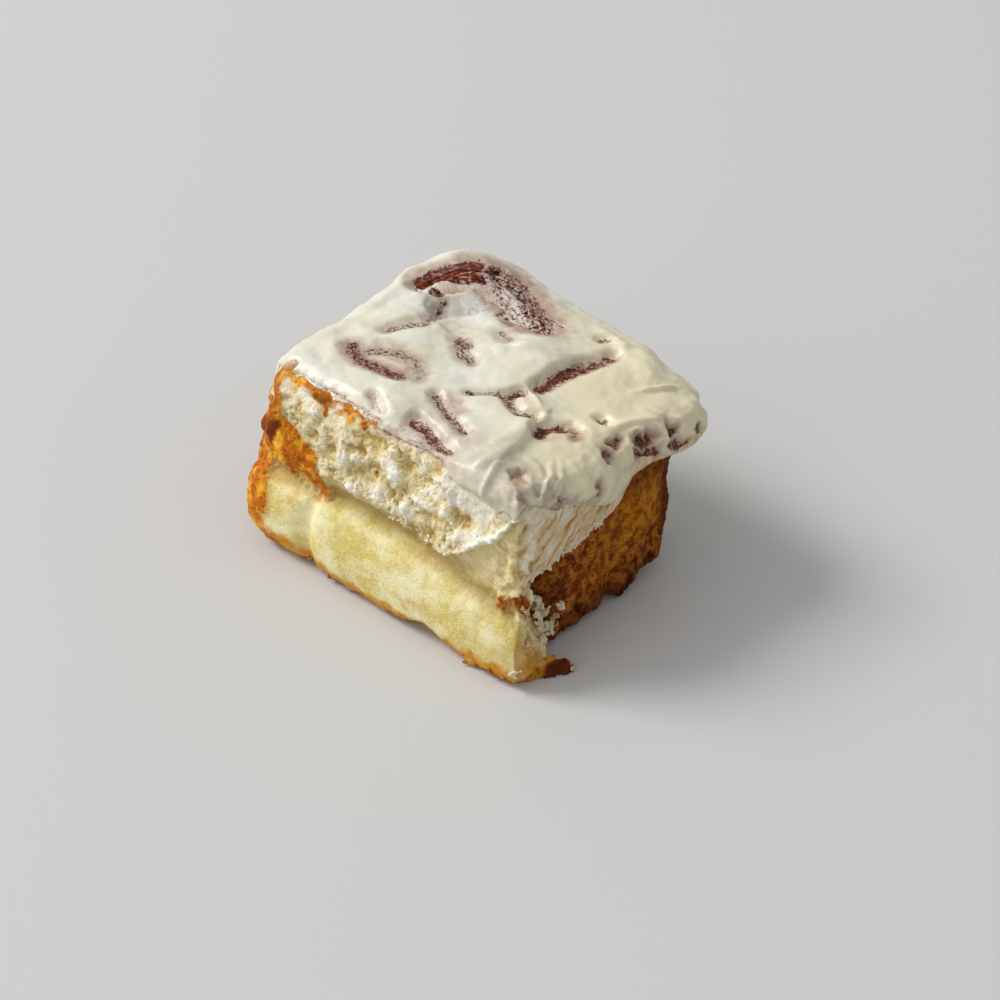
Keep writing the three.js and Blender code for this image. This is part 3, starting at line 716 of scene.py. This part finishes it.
# It is amber over the middle, with a strip that runs down from there, and darker at the rear, low down,
# near the corner and along its upper edge; just under the strands' overhanging edge the darkness is a
# painted shadow.
amber = ramp(y + 4 * broad, -6, 8) * (1 - ramp(y, 19, 27)) * ramp(z + 3 * broad, 10, 22)
amber_strip = swell(y + 0.8 * grainy - 0.25 * (z - 12), 3.0, 1.5) * ramp(-z, -20, -13)
mark(wall.data, "amber", np.maximum(amber, 0.95 * amber_strip))
mark(wall.data, "rear", ramp(y + 2 * grainy, 21, 27))
dark_low = ramp(-z - 2 * grainy, -14, -5) * ramp(y, -27, -14)
dark_near = ramp(-y - 2.5 * grainy, 13, 25) * (1 - 0.4 * ramp(z, 14, 26))
dark_top = 0.8 * ramp(z + 1.5 * grainy, 31, 36)
# Painted shadow on the wall just under the overhanging strands.
shadow_under_strands = 0.8 * ramp(above_edge + 1.2 * grainy, -3.0, -0.8) * ramp(-y, 6, 10)
mark(wall.data, "low", np.maximum.reduce([dark_low, dark_near, dark_top, shadow_under_strands]))
mark(wall.data, "skirt", swell(y + grainy, 8, 6) * ramp(-z - grainy, -7, -3))
mark(wall.data, "grainy", 0.5 + 0.5 * grainy)
rest = half(sheet, "inner_sheet", False)
filling = placed("cinnamon_coat", joined("cinnamon_coat", [wall.data, rest]))
bpy.data.objects.remove(wall)

# Cinnamon sugar baked on in butter: matt, granular, dark in its grains and amber where it is thin.
tree, place, kept = begun("cinnamon sugar coat", filling.data)
speck = node(tree, NOISE, (place, PER_METRE / 0.8, 2, 0.6))
clump = node(tree, NOISE, (place, PER_METRE / 2.6, 5, 0.65))
clumps = node(tree, TIMES_PLUS, (kept["grainy"], 0.5, clump))
clumps = node(tree, STEP, (clumps, 0.55, 0.95))
speckle = node(tree, STEP, (speck, 0.4, 0.62))
speckle = node(tree, TIMES, (speckle, clumps))
amber_colour = node(tree, MIX, (clumps, "#9a5204", "#c98518"))
dark_and_shadow_colour = node(tree, MIX, (clumps, "#320d02", "#7a3610"))
dark_and_shadow_colour = node(tree, MIX, (speckle, dark_and_shadow_colour, "#7c4418"))
amber_share, rear_share, dark_and_shadow_share, skirt_share = [
    node(tree, TIMES, (kept[name], most))
    for name, most in (("amber", 0.85), ("rear", 0.85), ("low", 0.9), ("skirt", 0.85))
]
fewer_on_amber = node(tree, TIMES_PLUS, (amber_share, -0.6, 0.75))
specks = node(tree, STEP, (speck, 0.54, 0.64))
specks = node(tree, TIMES, (specks, fewer_on_amber))
colour = node(tree, MIX, (clumps, "#762f06", "#be7422"))
for share, layer in ((amber_share, amber_colour), (rear_share, "#5c1802"), (dark_and_shadow_share, dark_and_shadow_colour),
                     (specks, "#431a06"), (skirt_share, "#200702")):
    colour = node(tree, MIX, (share, colour, layer))
relief = node(tree, TIMES_PLUS, (speck, 0.6, clump))
bump = node(tree, BUMP, {"Height": relief, "Strength": 0.8, "Distance": 0.6 * MM})
ended(tree, colour, bump, {"Roughness": 0.6, "IOR": 1.45, "Specular IOR Level": 0.07})

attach(filling, "root")
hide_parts("cinnamon_filling")


# Crumbs of the torn dough cling to it: pale flakes on the wall and along the lip, and browned bits of
# the crust along the foot.
CLUMPS = [  # a line through the clump, how many crumbs, half their size, and how browned they are
    ([(43.9, -26.6, 16.4), (44.4, -25.6, 12.4), (44.8, -25.0, 9.4), (45.4, -24.4, 6.4)], 46, 1.15, 0.05),
    ([(46.1, -20.4, 13.4), (46.5, -18.8, 11.4), (46.9, -17.2, 12.8)], 13, 0.85, 0.0),
    ([(46.2, -21.4, 10.8), (46.6, -22.6, 8.4), (46.9, -21.0, 5.6)], 9, 0.7, 0.5),
    ([(47.4, -38.5, 23.4), (50.2, -37.5, 20.6)], 8, 1.0, 0.6),
    ([(49.2, -33.6, 17.6), (49.6, -32.0, 13.4), (50.0, -31.6, 9.0), (51.0, -33.6, 5.4)], 22, 1.05, 0.15),
    ([(51.8, -40.0, 15.4), (52.4, -38.4, 11.6)], 6, 0.8, 0.6),
    ([(51.8, -43.6, 4.6), (51.4, -43.2, 7.6)], 5, 0.9, 0.0),
]
# Torn ends of the strands hang over the wall: the strands' lower edge, as distance back and height.
STRAND_EDGE = [(-34.2, 29.7), (-27.6, 30.4), (-20.5, 32.5), (-13.0, 33.5), (-4.2, 35.3)]
STRAND_PULL = (-0.1, 0.3, -1.0)
STRAND_ENDS = 110
CLUMP_SPREAD = 0.7
BIT_SEED = 5
LIP_BITS = 45
FOOT_BITS = 50
CRUMB_VOXEL = 0.3
FAR_BESIDE = 80.0

rng = np.random.default_rng(BIT_SEED)
bits = []
stretches = []
for line, count, size, browned in CLUMPS:
    line = np.array(line)
    for part_way in rng.uniform(0, len(line) - 1, count):
        before = int(part_way)
        middle = line[before] + (part_way - before) * (line[before + 1] - line[before])
        bits.append((middle + rng.normal(0, CLUMP_SPREAD * size, 3), size * rng.uniform(0.5, 1.15), browned))
for back_at in rng.uniform(STRAND_EDGE[0][0], STRAND_EDGE[-1][0], STRAND_ENDS):
    beside = metres(np.array([FAR_BESIDE, back_at, follow(back_at, STRAND_EDGE) + 0.7]))
    found = dough_tree.ray_cast(beside, (-1, 0, 0))[0]
    length = rng.uniform(0.7, 2.2)
    if found:
        hanging = np.array(found) / MM - ROLL_MIDDLE - (0.3, 0, 0.3 + 0.5 * length)
        stretches.append((hanging, length, rng.uniform(0.3, 0.65)))
at, out = measured(dough.data)
lip_share = torn_front * ramp(-above_lip, -5, -2) * ramp(-at[:, 0], -40, -30)
foot_share = fringe * (at[:, 1] < 0) * (at[:, 2] > 0.2)
for share, count, browned in ((lip_share, LIP_BITS, 0.0), (foot_share, FOOT_BITS, 1.0)):
    for spot in rng.choice(len(at), count, p=share / share.sum()):
        size = rng.uniform(0.35, 0.9)
        bits.append((at[spot] - out[spot] * 0.1 * size, size, browned * rng.uniform(0.6, 1.0)))


def put(place):
    return Matrix.Translation(metres(place))


shape = bmesh.new()
for place, size, browned in bits:
    turn = Matrix.Rotation(rng.uniform(0, math.pi), 4, Vector(rng.normal(size=3)))
    flat = Matrix.Diagonal((*(size * rng.uniform((1.0, 0.55, 0.3), (1.9, 1.1, 0.55)) * MM), 1))
    bmesh.ops.create_icosphere(shape, subdivisions=2, radius=1, matrix=put(place) @ turn @ flat)
for place, length, width in stretches:
    pull = Vector(STRAND_PULL) + Vector(rng.normal(0, 0.22, 3))
    turn = pull.to_track_quat("Z", "Y").to_matrix().to_4x4()
    flat = Matrix.Diagonal((0.7 * width * MM, width * MM, length * MM, 1))
    bmesh.ops.create_icosphere(shape, subdivisions=2, radius=1, matrix=put(place) @ turn @ flat)
    bits.append((place, width, 0.15))
crumbs_mesh = bpy.data.meshes.new("clinging_crumbs")
shape.to_mesh(crumbs_mesh)
shape.free()
crumbs = fine_skin("clinging_crumbs", crumbs_mesh, CRUMB_VOXEL, 1)
at, out = measured(crumbs.data)
middles = np.array([bit[0] for bit in bits])
brownings = np.array([bit[2] for bit in bits])
nearest_bit = [np.argmin(((spot - middles) ** 2).sum(axis=1)) for spot in at]
mark(crumbs.data, "browned", brownings[nearest_bit] + 0.3 * lumps(at, 1.5, 2, 4.0))
crags = 0.55 * lumps(at, (1.6, 1.6, 0.9), 3, 9.0, 0.5) - 0.05
write(crumbs.data, at + out * crags[:, None], 0.03)

# The same dough as crumbs: creamy white, or browned where it was crust.
tree, place, kept = begun("baked egg dough crumbs", crumbs.data)
tone = node(tree, NOISE, (place, PER_METRE / 1.0, 3, 0.6))
pale = node(tree, MIX, (tone, "#d6bf94", "#f6ecd6"))
brown = node(tree, MIX, (tone, "#7a3c0e", "#c4822e"))
colour = node(tree, MIX, (kept["browned"], pale, brown))
bump = node(tree, BUMP, {"Height": tone, "Strength": 0.5, "Distance": 0.3 * MM})
ended(tree, colour, bump, {
    "Roughness": 0.65, "Specular IOR Level": 0.3, "Subsurface Weight": 0.3,
    "Subsurface Radius": (1.0, 0.75, 0.45), "Subsurface Scale": 0.8 * MM,
})

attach(crumbs, "root")


# The icing is cream cheese, butter and sugar, spread with a knife while the roll was warm. It is thick
# and glossy with knife ridges, hangs over the edges, and is thin over the windings, where the filling
# stains it or shows bare.
ICING_VOXEL = 0.55
ICING_SMOOTHING = 10
EVENING = 8

# Knife ridges and folds: the line, its width and height, and how much wider its left-hand side is.
RIDGES = [
    ([(31.9, -32.5, 54.8), (31, -27.6, 56.3), (29.4, -18, 56.3), (27, -8, 56)], 0.9, 1.5, 6.0),
    ([(14.5, 1.0, 56), (19, -1, 56.4), (23.2, -3.7, 56.4), (28.4, -5.6, 56)], 0.7, 0.9, 1.5),
    ([(-0.6, 8.8, 59), (0.4, 10.2, 59.4), (5, 12.4, 59), (10, 15, 58)], 1.2, 1.3, 2.0),
    ([(34.7, 20.7, 54.8), (38.3, 28.1, 54.2), (40.3, 34.4, 52.4)], 0.8, 1.1, 1.0),
    ([(31.3, -27.1, 56.2), (31.9, -32.5, 54.8), (32.3, -35.9, 51.8), (32.8, -37, 46)], 0.9, 1.9, 1.8),
    ([(40, -19, 55), (42.9, -22.3, 53.1), (44.7, -27.4, 51), (44.6, -30, 47)], 0.8, 1.8, 1.8),
    ([(41.8, 2.1, 54.7), (42.2, 6.7, 54.4), (45.6, 16.8, 52.9)], 1.0, 1.4, 1.6),
    ([(45.6, 14.8, 53.5), (48.8, 16.6, 50.5), (50.4, 16.4, 46.6)], 0.8, 1.4, 1.2),
    ([(44, 20, 54), (48.6, 23.8, 50.8), (51, 26.4, 46)], 0.9, 1.2, 1.2),
    ([(46.4, 3.6, 52), (47.8, 5.0, 49.4), (48.6, 6.0, 46)], 0.7, 1.0, 1.2),
    ([(35.5, -2.0, 55.7), (38.5, -5.5, 55.2), (41.5, -9, 54.6)], 1.0, 0.7, 1.5),
    ([(8.5, 37.5, 54), (14, 36.8, 55), (19.4, 35.5, 55.5), (22, 31.5, 55.8)], 1.4, 1.3, 1.2),
    ([(-40, -8, 57), (-37.5, -20, 57), (-30, -28, 57)], 2.5, 0.7, 1.0),
    ([(45.5, -27, 50), (45.4, -23, 51.5), (44.8, -20.2, 52.1), (42.7, -17, 53.4)], 0.8, 1.6, 1.6),
    ([(42.8, -23.9, 53.1), (39, -22.4, 54.3), (35.5, -21.7, 55.1)], 0.9, 1.1, 1.4),
]
# Brown windows and holes in the hem on the right: a line in space, half its width and how bare it is.
WINDOWS = [
    ([(45.1, 3.0, 53.1), (44.8, 1.6, 53.0)], 0.6, 0.8),
    ([(46.5, -1.9, 52.4), (46.7, -2.8, 51.6)], 0.6, 0.8),
    ([(47.5, 8.9, 52.0), (48.2, 10.9, 50.6), (48.0, 12.6, 50.6)], 1.1, 0.8),
    ([(48, 7.3, 49.0), (48.4, 8.6, 47.4)], 0.7, 0.8),
    ([(48.7, 10.6, 46.6), (49.1, 13, 46)], 1.5, 0.9),
    ([(48.5, 20, 50.3), (48.9, 20.4, 49.2)], 0.6, 1.0),
    ([(50.4, 20, 46.2), (50.9, 22.8, 43.6), (50.4, 26.5, 41.5)], 0.9, 0.75),
    ([(49.6, -9.5, 47.8), (50.4, -9.4, 45.0)], 0.5, 0.6),
    ([(45.6, -28.1, 45.2), (45.9, -27, 44.4)], 0.8, 0.7),
    ([(46.8, -23.8, 46.5), (47.4, -21.5, 47)], 0.5, 0.5),
    ([(50.6, 30.5, 46.4), (50.8, 31, 44.5)], 0.5, 0.6),
    ([(37.2, -28.5, 54.6), (41, -31.8, 50.6), (44, -32.4, 46.6)], 0.6, 0.1),
]
# The icing's lower edge: its height at each distance along the front and along the right-hand side.
FRONT_HEM = [(-30, 56), (-15, 55.5), (-9.5, 55), (-4, 53), (1, 50.5), (8, 48.2), (14, 48.6), (16, 50.5),
             (19.5, 46), (22, 43), (31, 41.5), (33.4, 40.2), (35, 43), (36.8, 47), (41, 48.4), (43, 46),
             (45, 43.5)]
RIGHT_HEM = [(-36, 43.2), (-32, 43.4), (-29.4, 45.3), (-28.4, 47.6), (-26.2, 49), (-24, 48.6),
             (-20.3, 47.0), (-15.7, 41.8), (-11.2, 41), (-8, 37.5), (-5.6, 34), (-4.6, 36), (-3.8, 44),
             (-1, 46.5), (3, 45), (5.8, 43.7), (8.6, 44.7), (12.1, 43.4), (17, 42.6), (22, 41), (28, 39.5),
             (36, 39)]
# Where the icing leaves the rolled-up crust at the left end of the rim bare.
BARE_CURL = [(-40.5, -32.8, 55), (-40.5, -36, 51), (-38, -38, 46)]


def hem_masks(at, out):
    """For each place how far it faces the front and the right, how high it is over the icing's ragged lower
    edge, how ragged that is there, and how far the rim is bare."""
    x, y, z = at.T
    facing_front = ramp(-out[:, 1], 0.2, 0.5) * ramp(-y, 26, 31)
    facing_right = ramp(out[:, 0], 0.2, 0.5) * ramp(x, 34, 40) * (1 - facing_front)
    finger = lumps(np.stack([x, y, z * 0.35], 1), 2.6, 2, 61.0)
    edge = np.where(facing_front > facing_right, follow(x, FRONT_HEM), follow(y, RIGHT_HEM))
    rim_bare = ramp(-y + 1.2 * lumps(at, 8.0, 1, 21.0) + finger, 33.9, 34.9) * ramp(-x, 3, 10)
    rim_bare = np.maximum(rim_bare, near_line(at, BARE_CURL, 2.0, 1.5))
    return facing_front, facing_right, z - edge + 1.4 * finger, finger, rim_bare


icing = fine_skin("cream_cheese_icing", merged("icing"), ICING_VOXEL, ICING_SMOOTHING)
at, out = measured(icing.data)
facing_front, facing_right, over_edge, finger, rim_bare = hem_masks(at, out)
at_hem = (np.maximum(facing_front, facing_right) > 0.3) & (np.abs(over_edge) < 1.5)
at_rim = (rim_bare > 0.01) & (rim_bare < 0.99) & (out[:, 2] - out[:, 1] > 0.3)
refine(icing.data, at_hem | at_rim)
at, out = measured(icing.data)
x, y, z = at.T
found = [dough_tree.find_nearest(spot) for spot in metres(at).tolist()]
base = np.array([f[0] for f in found]) / MM - ROLL_MIDDLE
base_out = np.array([f[1] for f in found])
height = np.einsum("ij,ij->i", at - base, base_out)
# The icing doesn't follow the fine roughness of the dough under it.
height = evened(icing.data, height, EVENING)
base_out = np.stack([evened(icing.data, part, EVENING) for part in base_out.T], 1)
base_out /= np.maximum(np.linalg.norm(base_out, axis=1), 0.2)[:, None]
first_corner = np.array([dough.data.polygons[f[2]].vertices[0] for f in found])
crust_below = plain_crust[first_corner]

swells = lumps(at, 8.0, 1, 21.0)
small = lumps(at, 1.8, 2, 9.0)
dimples = lumps(at, 3.0, 3, 71.0)
drag = lumps(np.stack([at @ (0.8, 0.6, 0), at @ (-0.6, 0.8, 0), z], 1), (20, 3.2, 6.0), 1, 3.0)
outer = ramp(height, 0.6, 1.4)
on_top = ramp(z, 44, 50)
wander = wandered(at)
warped = at + 1.1 * np.stack([lumps(at, 2.4, 2, shift) for shift in (31.0, 47.0, 53.0)], 1)
bare = np.zeros(len(at))
stain_and_valley_shade = np.zeros(len(at))
trough = np.zeros(len(at))
for line, half_width, bareness, halo_width, halo_strength in STREAKS:
    dip = near_line(at, line, half_width, 1.5 + 1.2 * halo_width)
    stained = near_line(wander, line, half_width + 0.3 * halo_width, 1.5 + 1.5 * halo_width)
    trough = np.maximum(trough, (0.35 + 0.65 * bareness) * dip * on_top)
    bare = np.maximum(bare, bareness * near_line(wander, line, half_width - 0.2, 2.2) * on_top)
    stain_and_valley_shade = np.maximum(stain_and_valley_shade, halo_strength * stained * on_top)
for line, half_width, bareness in WINDOWS:
    bare = np.maximum(bare, bareness * near_line(warped, line, half_width, 1.2))
    stain_and_valley_shade = np.maximum(stain_and_valley_shade, 0.8 * near_line(warped, line, half_width + 0.5, 2.4))
    trough = np.maximum(trough, 0.75 * near_line(warped, line, half_width, 2.2))

# The hem is ragged. It is thin on the torn front and over the browned rim at the left, and gone below
# its edge.
facing_front, facing_right, over_edge, finger, rim_bare = hem_masks(at, out)
facing = np.maximum(facing_front, facing_right)
gone = np.maximum(ramp(-over_edge, -0.2, 0.5) * facing, rim_bare)
hem = ramp(-over_edge, -7, -0.5) * facing
thin_front = ramp(-y, 30, 35) * ramp(-x, -20, -8)
side_hem = (1 - ramp(z - 3.5 * finger, 39, 48)) * (1 - ramp(out[:, 2], 0.6, 0.8))
thinning = np.clip(np.maximum.reduce([0.75 * hem, 0.6 * side_hem, 0.85 * thin_front]), 0, 0.88)

ridge = np.zeros(len(at))
for line, width, rise, left_share in RIDGES:
    away = along_line(at, line)[0]
    spread = np.where(away > 0, width * left_share, width)
    from_end = np.minimum(*(np.linalg.norm(at - end, axis=1) for end in (line[0], line[-1])))
    ridge = np.maximum(ridge, rise * swell(away, 0, spread) * (0.35 + 0.65 * ramp(from_end, 0, 5)))

pulled_across = at @ (0, -0.66, 0.75) + 1.2 * swells
fibres = lumps(np.stack([x, at @ (0, 0.75, 0.66), pulled_across], 1), (2.5, 8.0, 1.5), 3, 1.7)
fibrous = facing_right * ramp(-y, 4, 9) * ramp(-over_edge, -8, -2)
folds = lumps(np.stack([0.4 * x, y, 0.22 * z + 0.3 * y], 1), 3.4, 2, 81.0)
folds *= facing_right * ramp(z, 38, 43)
sunk = np.zeros(len(at))
for line, half_width, slope, depth in VALLEYS:
    sunk = np.maximum(sunk, depth * near_line(at, line, half_width, slope, 0.5 * small) * on_top)
sunk = np.minimum(sunk, np.maximum(0.8 * height - 0.5, 0))
# Painted shade: the valleys take the stain's pinkish brown, more of it where they are deeper.
stain_and_valley_shade = np.maximum(stain_and_valley_shade, 0.35 * sunk)
waves = 0.55 * swells + 0.26 * drag + 0.2 * dimples + 0.9 * folds + ridge
depth = height * (1 - thinning * ramp(height, 0.0, 1.0)) + outer * (waves * (1 - 0.6 * trough) - sunk)
depth = depth * (1 - 0.8 * trough) + 0.5 * fibres * fibrous
depth = np.maximum(depth, 0.35 * outer * (1 - ramp(bare, 0.15, 0.5)))
depth = depth * (1 - gone) + (-0.9 + 0.2 * outer) * gone
write(icing.data, at + base_out * (depth - height)[:, None])
thinness = np.exp(-np.maximum(depth, 0) / 0.8)
streak_across, streak_along = along_streaks(wander)
# Thin icing shows the dough through as a greyer tone at the hem and over the strands. On the top's slope down
# to the front, which faces away from the light, and low on the front of the hem the same tone is painted
# shade as well.
thin_and_shade = np.maximum.reduce([
    thinness * ramp(-over_edge, -9, -2) * facing,
    0.6 * ramp(-y + 2 * swells, 15, 27) * ramp(x, -14, 0),
    0.55 * ramp(-z + 3 * swells, -54, -47) * facing_front * ramp(x, 10, 18),
    fibrous * (0.7 - 0.9 * fibres),
])
for name, values in (
    ("bare", bare), ("stain_and_shade", stain_and_valley_shade), ("thin_and_shade", (1 - bare) * thin_and_shade),
    ("yellow", ramp(x + 0.4 * y + 6 * swells, 0, 40)),
    ("toasted", thinness * crust_below * (1 - bare) * ramp(-x, 0, 8)),
    ("across", 0.5 + streak_across / ACROSS_SPAN), ("along", streak_along / ALONG_SPAN),
):
    mark(icing.data, name, values)

# Cream cheese icing: smooth, glossy and slightly translucent, off-white, warmer where it is thick, and
# pinkish brown where cinnamon has bled into it; in the valleys the same pinkish brown is painted shade.
tree, place, kept = begun("cream cheese icing", icing.data)
cloud = node(tree, NOISE, (place, PER_METRE / 12, 3, 0.6))
blotch = node(tree, NOISE, (place, PER_METRE / 3.0, 4, 0.6))
fleck = node(tree, NOISE, (place, PER_METRE / 0.9, 4, 0.65))
clouds = node(tree, STEP, (cloud, 0.35, 0.65))
warm_share = node(tree, TIMES, (kept["yellow"], 0.75))
thin_noise = node(tree, TIMES_PLUS, (blotch, 1.0, -0.5))
thin_and_shade_share, stain_and_shade = [
    node(tree, STEP, (node(tree, PLUS, (kept[name], thin_noise)), low, high))
    for name, low, high in (("thin_and_shade", 0.1, 1.0), ("stain_and_shade", 0.05, 1.1))
]
# Where it is bare the filling shows, with the same fine lines as on the dough.
line_noise = filling_lines(tree, kept)
lined = node(tree, TIMES_PLUS, (line_noise, 1.6, -0.8))
grained = node(tree, PLUS, (line_noise, fleck))
grain_tone = node(tree, STEP, (grained, 0.8, 1.15))
grains = node(tree, MIX, (grain_tone, "#98440f", "#420f02"))
fleck_noise = node(tree, TIMES_PLUS, (fleck, 2.6, -1.3))
near_bare = node(tree, TIMES_CLAMPED, (kept["bare"], 3.0))
strewn = node(tree, TIMES_PLUS, (fleck_noise, 0.75, lined))
bared = node(tree, TIMES_PLUS, (strewn, near_bare, kept["bare"]))
bared = node(tree, STEP, (bared, 0.2, 0.95))
near_toast = node(tree, TIMES_CLAMPED, (kept["toasted"], 2.0))
toasted = node(tree, TIMES_PLUS, (fleck_noise, near_toast, kept["toasted"]))
toasted = node(tree, STEP, (toasted, 0.35, 1.0))
colour = node(tree, MIX, (clouds, "#e2dcc5", "#e8e5d6"))
for share, layer in ((warm_share, "#e3d7b0"), (thin_and_shade_share, "#c2b5a2"), (stain_and_shade, "#ad8976"), (bared, grains),
                     (toasted, "#b98050")):
    colour = node(tree, MIX, (share, colour, layer))
soft_relief = node(tree, TIMES, (blotch, 0.5))
relief = node(tree, TIMES, (fleck, bared))
relief = node(tree, TIMES_PLUS, (relief, 0.6, soft_relief))
bump = node(tree, BUMP, {"Height": relief, "Strength": 0.5, "Distance": 0.6 * MM})
shader = ended(tree, colour, bump, {
    "IOR": 1.46, "Subsurface Weight": 0.4, "Subsurface Radius": (1.0, 0.85, 0.6),
    "Subsurface Scale": 2.0 * MM,
})
matting = node(tree, TIMES_PLUS, (bared, 0.2, 0.33))
tree.links.new(matting.outputs[0], shader.inputs["Roughness"])

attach(icing, "root")
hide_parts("icing")


# The room: a pale painted table, a soft light high on the left and a weaker one in front.
FLOOR_SIZE = 6.0
floor_shape = bmesh.new()
bmesh.ops.create_grid(floor_shape, x_segments=1, y_segments=1, size=FLOOR_SIZE / 2)
floor_mesh = bpy.data.meshes.new("floor")
floor_shape.to_mesh(floor_mesh)
floor_shape.free()
floor = bpy.data.objects.new("floor", floor_mesh)
scene.collection.objects.link(floor)
paint = bpy.data.materials.new("pale table paint")
paint.use_nodes = True
paint.node_tree.nodes["Principled BSDF"].inputs["Base Color"].default_value = linear("#cecdcb")
paint.node_tree.nodes["Principled BSDF"].inputs["Roughness"].default_value = 0.6
floor.data.materials.append(paint)


def soft_light(name, direction, distance, size, power):
    """A square light that faces the roll."""
    data = bpy.data.lights.new(name, "AREA")
    data.size = size
    data.energy = power
    lamp = bpy.data.objects.new(name, data)
    towards = Vector(direction).normalized()
    lamp.location = towards * distance + Vector((0, 0, 0.03))
    lamp.rotation_euler = towards.to_track_quat("Z", "Y").to_euler()
    scene.collection.objects.link(lamp)


soft_light("key_light", (-0.67, -0.31, 0.67), 4.0, 1.6, 118)
soft_light("fill_light", (-0.2, -0.9, 0.5), 4.0, 3.0, 25)

world = bpy.data.worlds.new("room")
world.use_nodes = True
world.node_tree.nodes["Background"].inputs["Color"].default_value = linear("#f2f4f6")
world.node_tree.nodes["Background"].inputs["Strength"].default_value = 0.5
scene.world = world
